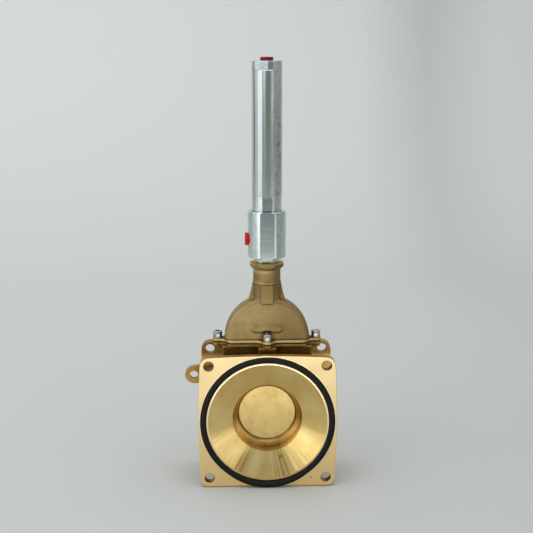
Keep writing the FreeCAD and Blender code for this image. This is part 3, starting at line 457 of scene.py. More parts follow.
    # Painted dark and bright fans stand in for the turned cone's reflection.
    painted_dark_fan = zone(tree, fan, -0.66, -0.42, 0.12, 0.1)
    painted_bright_fan = zone(tree, fan, -0.42, -0.25, 0.1)
    steepness = add(tree, "Math", fan, operation="ABSOLUTE")
    foot = add(tree, "MapRange", z, -28.0, -44.0)
    scratches = add(tree, "MapRange", add(tree, "TexNoise", out, 19.0), 0.47, 0.62)
    line_strength = add(tree, "MapRange", painted_bright_fan, 0.0, 1.0, 0.65, 0.15)
    lines = all_of(tree, scratches, zone(tree, steepness, high=1.0, soft=0.3), foot)
    turned_tone = tint(tree, turned_tone, "#8E6D3C", lines, line_strength)
    turned_tone = tint(tree, turned_tone, "#7A6336", painted_dark_fan, foot, 0.5)
    turned_tone = tint(tree, turned_tone, "#FFE2A4", painted_bright_fan, foot, 0.65)
    turned_tone = tint(tree, turned_tone, "#6E4E28", spot(tree, x, z, STAIN_X, STAIN_Z, 1.6, 1.2), 0.7)
    lip_highlight_tone = tint(tree, "#FFEFC8", "#F0C48A", add(tree, "MapRange", z, -20.0, -50.0))
    lip_ring = zone(tree, radius, FUNNEL_MOUTH_RADIUS - 0.1)
    turned_tone = tint(tree, turned_tone, lip_highlight_tone, lip_ring, zone(tree, y, high=1.5))

    cut_tone = tint(tree, face_tone, turned_tone, turned)
    tone = tint(tree, cast_tone, cut_tone, machined)
    tone = tint(tree, tone, colours.drilled, hole)

    # Radial streaks in the funnel's lower half scatter its light into spokes.
    spokes = add(tree, "TexNoise", out, 7.0)
    streaks = all_of(tree, spokes, add(tree, "MapRange", z, 30.0, -40.0))
    face_rough = add(tree, "MapRange", cloud, 0.3, 0.7, 0.4, 0.5)
    turned_rough = add(tree, "MapRange", streaks, 0.3, 0.7, 0.26, 0.36)
    cut_rough = add(tree, "Mix", turned, face_rough, turned_rough)
    rough = add(tree, "Mix", machined, cast_rough, cut_rough)
    uncut = add(tree, "Math", 1.0, machined, operation="SUBTRACT")
    cutter_marks = all_of(tree, add(tree, "TexNoise", mm, 1 / 1.2), face)
    sand = all_of(tree, cast_height, uncut)
    turning = all_of(tree, streaks, turned)
    normal = relief(tree, (sand, 0.08), (turning, 0.15), (cutter_marks, 0.018))
    across = across_turning(tree, out, (0.0, 1.0, 0.0))
    tangent = add(tree, "Mix", turned, scattered(tree, mm), across, data_type="VECTOR")
    plug_in(tree, shader, {"Base Color": tone, "Roughness": rough, "Normal": normal, "Tangent": tangent})
    return material


def sand_cast_brass(colours):
    """Sand-cast brass, blasted: a dull olive-brown gold skin with fine grain, darker in its hollows from
    patina and painted shade, with painted light and shade laid over its dome and neck.
    """
    material, tree, shader, mm = start_material("sand_cast_brass", {"Metallic": 1.0})
    x, y, z = add(tree, "SeparateXYZ", mm).outputs
    tone, rough, height = cast_skin(tree, mm, colours.casting, colours.casting_dark, "#5C4722", 6.0)

    # Painted shade darkens the skin to the right, painted light makes the belly paler, and painted shade
    # darkens the shoulder.
    tone = tint(tree, tone, "#6B5532", add(tree, "MapRange", x, -8.0, 17.0, 0.0, 0.62))
    belly_top = add(tree, "MapRange", z, 145.0, 127.0)
    belly_foot = add(tree, "MapRange", z, 98.0, 127.0, 0.3)
    tone = tint(tree, tone, "#C9B284", belly_top, belly_foot, 0.22)
    shoulder_foot = add(tree, "MapRange", z, 122.0, 140.0)
    shoulder_top = add(tree, "MapRange", z, 156.0, 150.0, 0.4)
    tone = tint(tree, tone, colours.casting_dark, shoulder_foot, shoulder_top, 0.55)

    # The neck's shoulder has a painted shadow under its step and a painted highlight on it, brighter to the
    # left.
    step_shade = zone(tree, z, NECK_SHOULDER - 1.3, NECK_SHOULDER - 0.2, 0.3)
    tone = tint(tree, tone, "#4E3818", step_shade, 0.55)
    step_highlight = zone(tree, z, NECK_SHOULDER, NECK_SHOULDER + 1.2, 0.3)
    tone = tint(tree, tone, colours.dressed_and_lit, step_highlight, add(tree, "MapRange", x, 12.0, -6.0, 0.1, 0.45))

    # The joint's plate is finished on a belt round its rim, with painted light on it, and painted shade lies
    # in the corner above it.
    ledge = BONNET_LOW.z / MM + PLATE_THICKNESS
    rim = zone(tree, z, high=ledge - 0.5, soft=0.3)
    tone = tint(tree, tone, colours.dressed_and_lit, rim, sideways(tree), 0.8)
    # Painted shade in the corner above the plate.
    tone = tint(tree, tone, "#33220C", zone(tree, z, ledge - 0.3, ledge + 0.9, 0.2, 0.4), 0.7)

    # The octagonal lip is turned on top, and painted light makes the neck pale under it, more to the left.
    lip = BONNET_HIGH.z / MM
    tone = tint(tree, tone, colours.turned, zone(tree, z, lip - 0.5))
    under_lip_painted_light = zone(tree, z, lip - 11.0, lip - 5.5, 1.5, 0.6)
    tone = tint(tree, tone, "#DCC592", under_lip_painted_light, add(tree, "MapRange", x, 10.0, -2.0, 0.05, 0.35))
    plug_in(tree, shader, {"Base Color": tone, "Roughness": rough, "Normal": relief(tree, (height, 0.08))})
    return material


def turned_brass(colours):
    """Free-cutting brass turned on a lathe: darker in its upper part and bright towards its foot, with
    painted shade on the seat's front chamfer and highlights drawn out across its rings. The rings are 0.8 mm
    apart, coarser than the real feed, to show."""
    material, tree, shader, mm = start_material("turned_brass", {"Metallic": 1.0, "Anisotropic": 0.5})
    out, radius = outward(tree, mm, "Y")
    x, y, z = add(tree, "SeparateXYZ", mm).outputs
    along_radius = add(tree, "VectorMath", (1.0, 0.0, 0.0), radius, operation="SCALE")
    rings = add(tree, "TexNoise", along_radius, 1 / 0.8, 1.0)
    clean = tint(tree, colours.turned, "#F0D493", add(tree, "TexNoise", mm, 1 / 9.0))
    tone = tint(tree, "#956F2E", clean, add(tree, "MapRange", z, -4.0, -20.0))
    front = SEAT_LOW.y / MM
    # Painted shade on the seat's front chamfer, which dims its highlight.
    tone = tint(tree, tone, "#7A5420", zone(tree, y, front + 0.1, front + 1.5, 0.05, 0.2), 0.8)
    rough = add(tree, "MapRange", rings, 0.3, 0.7, 0.2, 0.32)
    plug_in(tree, shader, {
        "Base Color": tone, "Roughness": rough, "Normal": relief(tree, (rings, 0.02)),
        "Tangent": across_turning(tree, out, (0.0, 1.0, 0.0)),
    })
    return material


def ground_brass(colours):
    """Brass plate ground and then rubbed by its seats: pale, with cloudy patches of different polish, fine
    scratches from side to side, and a painted shadow round the foot of the bore, at the seat's edge."""
    material, tree, shader, mm = start_material("ground_brass", {"Metallic": 1.0})
    radius = outward(tree, mm, "Y")[1]
    z = add(tree, "SeparateXYZ", mm).outputs["Z"]
    cloud = add(tree, "TexNoise", mm, 1 / 15.0, 3.0)
    smear = add(tree, "TexNoise", mm, 1 / 8.0, 3.0, 0.6)
    side_to_side = add(tree, "Mapping", mm, sockets={"Scale": (1 / 6.0, 1.0, 1.0)})
    scratch = add(tree, "TexNoise", side_to_side, 1 / 0.5)
    tone = tint(tree, colours.ground, "#E8C882", add(tree, "MapRange", cloud, 0.3, 0.7))
    tone = tint(tree, tone, "#CBAC6A", add(tree, "MapRange", smear, 0.5, 0.75, 0.0, 0.5))
    painted_seat_shadow = zone(tree, radius, BORE_RADIUS - 0.7, soft=0.3)
    tone = tint(tree, tone, "#4A2E0E", painted_seat_shadow, add(tree, "MapRange", z, 4.0, -14.0), 0.85)
    rough = add(tree, "MapRange", cloud, 0.35, 0.65, 0.28, 0.42)
    height = sum_of(tree, (cloud, 1.0), (scratch, 0.05))
    plug_in(tree, shader, {"Base Color": tone, "Roughness": rough, "Normal": relief(tree, (height, 0.25))})
    return material


def turned_aluminium(colours):
    """Aluminium bar, turned and milled: bright silver, with highlights drawn up and down across its rings,
    and plain on its milled flats. The rings are 0.7 mm apart, coarser than the real feed, to show."""
    material, tree, shader, mm = start_material("turned_aluminium", {"Metallic": 1.0, "Anisotropic": 0.35})
    out, radius = outward(tree, mm, "Z", (0.0, STEM_Y / MM, 0.0))
    x, y, z = add(tree, "SeparateXYZ", mm).outputs
    round_about = add(tree, "Mapping", mm, sockets={"Scale": (1 / 60.0, 1 / 60.0, 1.0)})
    rings = add(tree, "TexNoise", round_about, 1 / 0.7)
    cloud = add(tree, "TexNoise", mm, 1 / 11.0, 3.0, 0.6)
    facing = add(tree, "SeparateXYZ", add(tree, "NewGeometry").outputs["Normal"]).outputs["Y"]
    flat = zone(tree, add(tree, "Math", facing, operation="ABSOLUTE"), 0.9995, soft=0.0003)
    tone = tint(tree, colours.aluminium, "#B9C3C4", add(tree, "MapRange", cloud, 0.35, 0.7))

    # A painted dark reflection beside the cap's front flat, edges rubbed bright with painted highlights on
    # them, and a painted highlight and a strip of painted shade down the barrels.
    beside_flat = zone(tree, x, 0.8, 6.6, 0.5)
    on_cap = zone(tree, z, TUBE_HIGH.z / MM + 0.6, soft=0.4)
    tone = tint(tree, tone, "#54595B", beside_flat, on_cap, zone(tree, y, high=STEM_Y / MM), 0.85)
    tone = tint(tree, tone, "#F4F8F8", worn_and_glinting_edges(tree, 1.1))
    barrel = zone(tree, radius, BARREL_RADIUS, soft=0.3)
    tone = tint(tree, tone, "#F8FBFB", zone(tree, x, -10.4, -8.2, 0.4, 0.5), barrel)
    tone = tint(tree, tone, "#B2B9B8", zone(tree, x, 7.6, 12.0, 0.4, 1.0), barrel, 0.8)
    # Painted shade in the hollows.
    tone = tint(tree, "#23292B", tone, openness(tree, 2.5, 0.3, 0.75))
    ring_rough = add(tree, "MapRange", rings, 0.3, 0.7, 0.14, 0.2)
    cloud_rough = add(tree, "MapRange", cloud, 0.3, 0.7, -0.02, 0.03)
    rough = add(tree, "Math", ring_rough, cloud_rough, operation="ADD")
    across = across_turning(tree, out, (0.0, 0.0, 1.0))
    tangent = add(tree, "Mix", flat, across, scattered(tree, mm), data_type="VECTOR")
    plug_in(tree, shader, {
        "Base Color": tone, "Roughness": rough, "Normal": relief(tree, (rings, 0.012)), "Tangent": tangent,
    })
    return material


def drawn_aluminium(colours):
    """Drawn aluminium tube: bright, with faint streaks along its length and dull stains from handling."""
    material, tree, shader, mm = start_material("drawn_aluminium", {"Metallic": 1.0, "Anisotropic": 0.4})
    out = outward(tree, mm, "Z", (0.0, STEM_Y / MM, 0.0))[0]
    x, y, z = add(tree, "SeparateXYZ", mm).outputs
    lengthwise = add(tree, "Mapping", mm, sockets={"Scale": (1.0, 1.0, 1 / 45.0)})
    streaks = add(tree, "TexNoise", lengthwise, 1 / 1.1, 3.0, 0.6)
    upright = add(tree, "Mapping", mm, sockets={"Scale": (1.0, 1.0, 1 / 2.2)})
    stains = add(tree, "TexNoise", upright, 1 / 12.0, 4.0, 0.65)
    marks = add(tree, "MapRange", sum_of(tree, (streaks, 0.4), (stains, 0.6)), 0.4, 0.6)

    # Stained on the right and towards the foot, dull down the left, and smudged on the right below the cap.
    on_right = add(tree, "MapRange", x, -4.0, 2.0, 0.15)
    towards_foot = add(tree, "MapRange", z, 340.0, 260.0, 0.0, 0.6)
    handled = all_of(tree, marks, any_of(tree, on_right, towards_foot))
    tone = tint(tree, colours.tube, "#A9B0A8", handled)
    tone = tint(tree, tone, "#A5ABA8", zone(tree, x, -14.0, -4.0, 1.0, 3.0), 0.6)
    smudges = add(tree, "MapRange", add(tree, "TexNoise", mm, 1 / 7.0, 3.0, 0.6), 0.52, 0.66)
    far_right = add(tree, "MapRange", x, 6.0, 10.0)
    below_cap = add(tree, "MapRange", z, 355.0, 325.0, 0.0, 0.55)
    tone = tint(tree, tone, "#7E847C", smudges, far_right, below_cap)
    rough = add(tree, "MapRange", handled, 0.0, 1.0, 0.15, 0.28)
    plug_in(tree, shader, {
        "Base Color": tone, "Roughness": rough, "Normal": relief(tree, (streaks, 0.012)),
        "Tangent": across_turning(tree, out, (0.0, 0.0, 1.0)),
    })
    return material


def bright_stainless_steel(colours):
    """Cold-formed stainless steel, tumbled bright: neutral silver with fine, even texture, with painted shade
    on its knurled walls and in the socket."""
    material, tree, shader, mm = start_material("bright_stainless_steel", {"Metallic": 1.0})
    fine = add(tree, "TexNoise", mm, 1 / 0.6, 3.0, 0.6)
    tone = tint(tree, colours.steel, "#B3AFA8", add(tree, "TexNoise", mm, 1 / 2.5))
    # Painted shade on the upright knurled walls.
    tone = tint(tree, tone, "#6A655E", sideways(tree), 0.4)
    # Painted shade in the socket and between the knurl's teeth.
    tone = tint(tree, "#2A2723", tone, openness(tree, 1.5, 0.4, 0.85))
    rough = add(tree, "MapRange", fine, 0.3, 0.7, 0.12, 0.2)
    plug_in(tree, shader, {"Base Color": tone, "Roughness": rough, "Normal": relief(tree, (fine, 0.01))})
    return material


def moulded_rubber(colours):
    """Moulded nitrile rubber: black with a soft satin sheen and a trace of talc."""
    material, tree, shader, mm = start_material(
        "moulded_nitrile_rubber", {"Metallic": 0.0, "IOR": 1.5, "Specular IOR Level": 0.22})
    talc = add(tree, "TexNoise", mm, 1 / 5.0, 4.0, 0.65)
    fine = add(tree, "TexNoise", mm, 1 / 0.7)
    tone = tint(tree, colours.rubber, "#1C1A19", add(tree, "MapRange", talc, 0.45, 0.8))
    rough = add(tree, "MapRange", talc, 0.3, 0.7, 0.5, 0.7)
    plug_in(tree, shader, {"Base Color": tone, "Roughness": rough, "Normal": relief(tree, (fine, 0.02))})
    return material


def compressed_fibre(colours):
    """Compressed fibre packing: dark brown, matt, with short fibres showing at its edge."""
    material, tree, shader, mm = start_material(
        "compressed_fibre_packing", {"Metallic": 0.0, "Specular IOR Level": 0.15})
    lying = add(tree, "Mapping", mm, sockets={"Scale": (1 / 3.0, 1 / 3.0, 1.0)})
    fibres = add(tree, "TexNoise", lying, 1 / 0.8, 3.0, 0.7)
    tone = tint(tree, colours.gasket, "#3F3423", add(tree, "MapRange", fibres, 0.35, 0.7))
    rough = add(tree, "MapRange", fibres, 0.3, 0.7, 0.75, 0.95)
    plug_in(tree, shader, {"Base Color": tone, "Roughness": rough, "Normal": relief(tree, (fibres, 0.05))})
    return material


def bearing_plastic(colours):
    """Filled bearing plastic: fawn, matt, with a fine filler speckle."""
    material, tree, shader, mm = start_material("filled_bearing_plastic", {"Metallic": 0.0, "IOR": 1.48})
    speck = add(tree, "TexNoise", mm, 1 / 0.5, 3.0, 0.7)
    tone = tint(tree, colours.bearing, "#A8966B", add(tree, "MapRange", speck, 0.4, 0.7))
    rough = add(tree, "MapRange", speck, 0.3, 0.7, 0.5, 0.65)
    plug_in(tree, shader, {"Base Color": tone, "Roughness": rough, "Normal": relief(tree, (speck, 0.01))})
    return material


def moulded_polyethylene(colours):
    """Injection-moulded polyethylene: strong red, slightly waxy, with a soft gloss. It is deeper on top."""
    material, tree, shader, mm = start_material(
        "moulded_red_polyethylene", {"Metallic": 0.0, "IOR": 1.51, "Specular IOR Level": 0.2})
    z = add(tree, "SeparateXYZ", mm).outputs["Z"]
    flow = add(tree, "TexNoise", mm, 1 / 4.0, 3.0, 0.6)
    tone = tint(tree, colours.plug, "#B80D12", add(tree, "MapRange", flow, 0.3, 0.75))
    tone = tint(tree, tone, "#8F0A0E", zone(tree, z, TUBE_HIGH.z / MM))
    rough = add(tree, "MapRange", flow, 0.3, 0.7, 0.4, 0.55)
    plug_in(tree, shader, {"Base Color": tone, "Roughness": rough, "Normal": relief(tree, (flow, 0.03))})
    return material


def backdrop_paper(studio):
    """Seamless matt paper, cool grey, with painted light and shade: paler up the wall, a little darker
    towards the right, and a faint painted shadow of a fold in the roll."""
    material, tree, shader, mm = start_material(
        "seamless_backdrop_paper", {"Metallic": 0.0, "Roughness": 0.9})
    x, y, z = add(tree, "SeparateXYZ", mm).outputs
    wall = add(tree, "MapRange", y, 100.0, 1500.0)
    across = add(tree, "MapRange", x, -700.0, 700.0)
    # Painted shade: darker towards the right.
    floor_tone = tint(tree, studio.paper, "#B7B9B8", across)
    wall_foot = tint(tree, "#CECFCF", "#C8CAC8", across)
    wall_top = tint(tree, "#E0E3E3", "#D2D5D3", across)
    wall_tone = tint(tree, wall_foot, wall_top, add(tree, "MapRange", z, 0.0, 500.0))
    tone = tint(tree, floor_tone, wall_tone, wall)
    # Painted shadow of a fold on the wall.
    tone = tint(tree, tone, "#B9BCB8", zone(tree, x, 380.0, 560.0, 90.0), wall, 0.8)
    fibre = add(tree, "TexNoise", mm, 1 / 1.5, 3.0, 0.6)
    plug_in(tree, shader, {"Base Color": tone, "Normal": relief(tree, (fibre, 0.03))})
    return material


def paint(node, material):
    """Gives a CAD piece its finish."""
    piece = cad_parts[node]
    piece.data.materials.clear()
    piece.data.materials.append(material)


def piece_from(mesh, name, material, body, slot, *nodes, smooth_angle=35.0):
    """Turns a bmesh into a finished piece that rides on a body and stands for CAD nodes."""
    bmesh.ops.remove_doubles(mesh, verts=mesh.verts, dist=0.002 * MM)
    bmesh.ops.recalc_face_normals(mesh, faces=mesh.faces)
    for face in mesh.faces:
        face.smooth = True
    for edge in mesh.edges:
        if len(edge.link_faces) == 2:
            edge.smooth = edge.calc_face_angle() < math.radians(smooth_angle)
    data = bpy.data.meshes.new(name)
    mesh.to_mesh(data)
    mesh.free()
    data.materials.append(material)
    piece = bpy.data.objects.new(name, data)
    bpy.context.scene.collection.objects.link(piece)
    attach(piece, body)
    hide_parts(*nodes)
    return piece


def ring_of(mesh, radius, height, segments, shape=None):
    """A loop of edges at a height; shape changes the radius with the angle."""
    made_ring = bmesh.ops.create_circle(mesh, segments=segments, radius=radius)
    for vertex in made_ring["verts"]:
        vertex.co.z = height
        reshape(vertex, radius, shape)
    return list({edge for vertex in made_ring["verts"] for edge in vertex.link_edges})


def reshape(vertex, radius, shape):
    """Moves a vertex in or out to the radius that shape gives for its angle."""
    angle = math.atan2(vertex.co.y, vertex.co.x)
    wanted = radius if shape is None else shape(radius, angle)
    vertex.co.x = wanted * math.cos(angle)
    vertex.co.y = wanted * math.sin(angle)


def draw_up(mesh, profile, segments):
    """Draws a closed turned form up from its first ring. Each row has a radius, a height and a shape."""
    radius, height, shape = profile[0]
    edges = ring_of(mesh, radius, height, segments, shape)
    first = edges
    for radius, height, shape in profile[1:]:
        result = bmesh.ops.extrude_edge_only(mesh, edges=edges)["geom"]
        edges = [item for item in result if isinstance(item, bmesh.types.BMEdge)]
        for vertex in {vertex for edge in edges for vertex in edge.verts}:
            vertex.co.z = height
            reshape(vertex, radius, shape)
    for rim in (first, edges):
        bmesh.ops.contextual_create(mesh, geom=rim)


def hexagon(radius, angle):
    """The outline of a hexagon whose half width across flats is radius."""
    turn = math.radians(60)
    return radius / math.cos((angle % turn) - turn / 2)


def place(mesh, matrix):
    """Moves everything in a bmesh."""
    bmesh.ops.transform(mesh, matrix=matrix, verts=mesh.verts)


def join(mesh, other):
    """Adds another bmesh to this one and frees it."""
    data = bpy.data.meshes.new("joined")
    other.to_mesh(data)
    other.free()
    mesh.from_mesh(data)
    bpy.data.meshes.remove(data)


def settings():
    """The sizes and colours in use."""
    return bpy.context.scene.slide_gate_valve


def screw_places():
    """Centres of the bonnet's four screws, and how far each is turned."""
    head = settings().screws.head_diameter / 2
    across = SCREWS_HIGH.x - head
    along = (SCREWS_HIGH.y - SCREWS_LOW.y) / 2 - head
    turns = (25, 70, 15, 50)
    centres = ((-across, STEM_Y), (across, STEM_Y), (0, STEM_Y - along), (0, STEM_Y + along))
    return [(x, y, math.radians(turn)) for (x, y), turn in zip(centres, turns)]


class VALVE_OT_body(bpy.types.Operator):
    """Finish the cast and machined body"""
    bl_idname = "valve.body"
    bl_label = "Body"

    def execute(self, context):
        paint("valve_body", cast_and_machined_brass(settings().metals))
        return {"FINISHED"}


class VALVE_OT_bonnet(bpy.types.Operator):
    """Draw the bonnet as a soft-edged sand casting"""
    bl_idname = "valve.bonnet"
    bl_label = "Bonnet casting"

    def execute(self, context):
        sizes = settings().casting
        mesh = bmesh.new()
        mesh.from_mesh(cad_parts["bonnet"].data)
        bmesh.ops.remove_doubles(mesh, verts=mesh.verts, dist=0.005 * MM)
        data = bpy.data.meshes.new("bonnet_pattern")
        mesh.to_mesh(data)
        mesh.free()
        pattern = bpy.data.objects.new("bonnet_pattern", data)
        context.scene.collection.objects.link(pattern)
        remesh = pattern.modifiers.new("grid", "REMESH")
        remesh.mode = "VOXEL"
        remesh.voxel_size = sizes.grid
        soften = pattern.modifiers.new("soften", "SMOOTH")
        soften.factor = 0.5
        soften.iterations = 1
        waves = bpy.data.textures.new("mould_waves", "CLOUDS")
        waves.noise_scale = 5 * MM
        waves.noise_depth = 1
        uneven = pattern.modifiers.new("uneven", "DISPLACE")
        uneven.texture = waves
        uneven.texture_coords = "LOCAL"
        uneven.strength = sizes.unevenness
        uneven.mid_level = 0.5
        finished = bpy.data.meshes.new_from_object(pattern.evaluated_get(context.evaluated_depsgraph_get()))
        bpy.data.objects.remove(pattern)
        mesh = bmesh.new()
        mesh.from_mesh(finished)
        bpy.data.meshes.remove(finished)
        finish = sand_cast_brass(settings().metals)
        piece_from(mesh, "bonnet_casting", finish, "housing", "cast_brass", "bonnet", smooth_angle=60.0)
        return {"FINISHED"}


class VALVE_OT_flange_ring(bpy.types.Operator):
    """Make the rubber ring in the inlet flange's face"""
    bl_idname = "valve.flange_ring"
    bl_label = "Flange ring"

    def execute(self, context):
        sizes = settings().ring
        half = sizes.section / 2
        middle = (RING_HIGH.x - RING_LOW.x) / 2 - half
        mesh = bmesh.new()
        bmesh.ops.create_circle(mesh, segments=28, radius=half)
        for vertex in mesh.verts:
            if abs(vertex.co.y) < half * 0.01:
                vertex.co.x += math.copysign(sizes.flash, vertex.co.x)
        place(mesh, Matrix.Translation((middle - sizes.flash, (RING_LOW.y + RING_HIGH.y) / 2, 0)))
        bmesh.ops.spin(mesh, geom=mesh.verts[:] + mesh.edges[:], cent=(0, 0, 0), axis=(0, 1, 0),
                       angle=math.tau, steps=180, use_merge=True)
        # The ring is held in its groove down to this share of the way to its foot.
        held = 0.72
        for vertex in mesh.verts:
            down = -vertex.co.z / math.hypot(vertex.co.x, vertex.co.z)
            loose = max(0.0, down - held) / (1 - held)
            loose = loose * loose * (3 - 2 * loose)
            vertex.co.y -= sizes.creep * loose
            vertex.co.z -= sizes.sag * loose
        piece_from(mesh, "flange_ring_rubber", moulded_rubber(settings().softs), "housing", "nitrile_rubber",
                   "flange_face_ring", smooth_angle=60.0)
        return {"FINISHED"}


class VALVE_OT_screws(bpy.types.Operator):
    """Make the four knurled socket head screws"""
    bl_idname = "valve.screws"
    bl_label = "Bonnet screws"

    def execute(self, context):
        sizes = settings().screws
        head = sizes.head_diameter / 2
        shank = sizes.shank_diameter / 2
        seat = SCREWS_HIGH.z - sizes.head_height
        top = SCREWS_HIGH.z
        tip = SCREWS_LOW.z
        edge = head / 10
        teeth = 36

        def knurled(radius, angle):
            return radius - sizes.knurl_depth * (0.5 - 0.5 * math.cos(teeth * angle))

        profile = [
            (shank - edge, tip, None), (shank, tip + edge, None), (shank, seat, None),
            (head - edge / 2, seat, None), (head, seat + edge / 2, knurled),
            (head, top - 2.2 * edge, knurled), (head - edge / 3, top - edge, None),
            (head - edge, top - edge / 3, None), (head - 1.5 * edge, top, None),
            (sizes.socket_width / 2 + edge / 2, top, hexagon),
            (sizes.socket_width / 2, top - edge / 2, hexagon),
            (sizes.socket_width / 2, top - sizes.socket_depth, hexagon),
            (sizes.socket_width / 6, top - sizes.socket_depth - edge, None),
        ]
        mesh = bmesh.new()
        for x, y, turn in screw_places():
            screw = bmesh.new()
            draw_up(screw, profile, teeth * 4)
            place(screw, Matrix.Translation((x, y, 0)) @ Matrix.Rotation(turn, 4, "Z"))
            join(mesh, screw)
        piece_from(mesh, "bonnet_cap_screws", steel(), "housing", "stainless_steel", "bonnet_screws")
        return {"FINISHED"}


class VALVE_OT_washers(bpy.types.Operator):
    """Make the four split spring washers"""
    bl_idname = "valve.washers"
    bl_label = "Spring washers"

    def execute(self, context):
        sizes = settings().screws
        low = WASHERS_LOW.z
        high = WASHERS_HIGH.z
        play = 0.05 * MM
        rounding = 0.18 * MM
        inner = sizes.shank_diameter / 2 + play
        outer = (WASHERS_HIGH.y - STEM_Y) - ((SCREWS_HIGH.y - STEM_Y) - sizes.head_diameter / 2)
        mesh = bmesh.new()
        for x, y, turn in screw_places():
            washer = bmesh.new()
            bmesh.ops.create_grid(washer, x_segments=1, y_segments=1, size=0.5)
            bmesh.ops.scale(washer, vec=(outer - inner, high - low, 1), verts=washer.verts)
            place(washer, Matrix.Translation(((inner + outer) / 2, 0, (low + high) / 2))
                  @ Matrix.Rotation(math.pi / 2, 4, "X"))
            bmesh.ops.spin(washer, geom=washer.verts[:] + washer.edges[:] + washer.faces[:], cent=(0, 0, 0),
                           axis=(0, 0, 1), angle=math.tau - sizes.washer_gap, steps=56)
            bmesh.ops.recalc_face_normals(washer, faces=washer.faces)
            sharp = [e for e in washer.edges if len(e.link_faces) == 2 and e.calc_face_angle() > 0.8]
            bmesh.ops.bevel(washer, geom=sharp, offset=rounding, affect="EDGES", segments=2, profile=0.5,
                            material=-1)
            split_turn = 5 * turn + math.radians(20)
            place(washer, Matrix.Translation((x, y, 0)) @ Matrix.Rotation(split_turn, 4, "Z"))
            join(mesh, washer)
        piece_from(mesh, "split_spring_washers", steel(), "housing", "stainless_steel", "bonnet_washers")
        return {"FINISHED"}


class VALVE_OT_plugs(bpy.types.Operator):
    """Make the two red plugs in the ports"""
    bl_idname = "valve.plugs"
    bl_label = "Port plugs"

    def plug(self, head_height):
        """A plug that stands on z = 0."""
        sizes = settings().plugs
        flange_step = 0.25 * MM
        wide = sizes.head_diameter / 2
        slim = wide - flange_step
        stem = sizes.stem_diameter / 2
        bore = stem - 1.6 * MM
        rim = 1.4 * MM
        edge = 0.45 * MM
        recess = 4.5 * MM
        floor = head_height - 1.2 * MM
        flutes = 24

        def fluted(radius, angle):
            return radius - sizes.grip_depth * (0.5 - 0.5 * math.cos(flutes * angle))

        mesh = bmesh.new()
        draw_up(mesh, [
            (bore * 0.5, 0, None), (bore, -0.4 * MM, None), (bore, -sizes.stem_length, None),
            (stem - edge, -sizes.stem_length, None), (stem, edge - sizes.stem_length, None), (stem, 0, None),
            (wide - edge / 3, 0, None), (wide, edge / 3, None), (wide, rim - edge / 3, None),
            (wide - edge / 3, rim, None), (slim, rim, fluted), (slim, head_height - edge, fluted),
            (slim - edge / 3, head_height - edge / 3, None), (slim - edge, head_height, None),
            (recess + edge / 3, head_height, None), (recess, head_height - edge / 3, None),
            (recess - 0.1 * MM, floor, None), (0.8 * MM, floor, None), (0.4 * MM, floor + 0.25 * MM, None),
        ], flutes * 8)
        bar_length = 2 * recess + 0.3 * MM
        bar_width = 2 * MM
        bar_height = 1.5 * MM
        bar_middle = head_height - 0.8 * MM
        rounding = 0.22 * MM
        bar = bmesh.new()
        bmesh.ops.create_cube(bar, size=1.0)
        bmesh.ops.scale(bar, vec=(bar_length, bar_width, bar_height), verts=bar.verts)
        bmesh.ops.translate(bar, vec=(0, 0, bar_middle), verts=bar.verts)
        bmesh.ops.bevel(bar, geom=bar.edges[:], offset=rounding, affect="EDGES", segments=2, profile=0.5,
                        material=-1)
        join(mesh, bar)
        return mesh

    def execute(self, context):
        sizes = settings().plugs
        red = moulded_polyethylene(settings().softs)
        side_head = (SIDE_PLUG_HIGH.x - SIDE_PLUG_LOW.x) - sizes.stem_length
        side = self.plug(side_head)
        seat = Vector((SIDE_PLUG_LOW.x + side_head, STEM_Y, (SIDE_PLUG_LOW.z + SIDE_PLUG_HIGH.z) / 2))
        place(side, Matrix.Translation(seat) @ Matrix.Rotation(-math.pi / 2, 4, "Y"))
        piece_from(side, "side_transport_plug", red, "side_plug", "red_polyethylene", "side_port_plug")
        top_head = (TOP_PLUG_HIGH.z - TOP_PLUG_LOW.z) - sizes.stem_length
        top = self.plug(top_head)
        place(top, Matrix.Translation((0, STEM_Y, TOP_PLUG_HIGH.z - top_head)))
        piece_from(top, "top_transport_plug", red, "top_plug", "red_polyethylene", "top_port_plug")
        return {"FINISHED"}


class VALVE_OT_cylinder(bpy.types.Operator):
    """Finish the hydraulic cylinder's head, tube and cap"""
    bl_idname = "valve.cylinder"
    bl_label = "Hydraulic cylinder"

    def execute(self, context):
        turned = turned_aluminium(settings().metals)
        for node in ("cylinder_head", "end_cap", "piston"):
            paint(node, turned)
        paint("cylinder_tube", drawn_aluminium(settings().metals))
        return {"FINISHED"}


class VALVE_OT_gate(bpy.types.Operator):
    """Finish the gate, its seats and the rod that lifts it"""
    bl_idname = "valve.gate"
    bl_label = "Gate and rod"

    def execute(self, context):
        metals = settings().metals
        paint("gate", ground_brass(metals))
        turned = turned_brass(metals)
        for node in ("inlet_seat_ring", "outlet_seat_ring", "gland_bush"):
            paint(node, turned)
        for node in ("piston_rod", "piston_nut"):
            paint(node, steel())
        return {"FINISHED"}


class VALVE_OT_seals(bpy.types.Operator):
    """Finish the seals, the packing and the plain bearings"""
    bl_idname = "valve.seals"
    bl_label = "Seals and packing"

    def execute(self, context):
        softs = settings().softs
        rubber = bpy.data.materials.get("moulded_nitrile_rubber") or moulded_rubber(softs)
        for node in ("inlet_seat_seal", "outlet_seat_seal", "neck_rod_seal", "neck_scraper", "head_rod_seal",
                     "head_tube_ring", "cap_tube_ring", "piston_seal"):
            paint(node, rubber)
        paint("bonnet_gasket", compressed_fibre(softs))
        bearing = bearing_plastic(softs)
        for node in ("head_guide_ring", "piston_wear_ring"):
            paint(node, bearing)
        return {"FINISHED"}


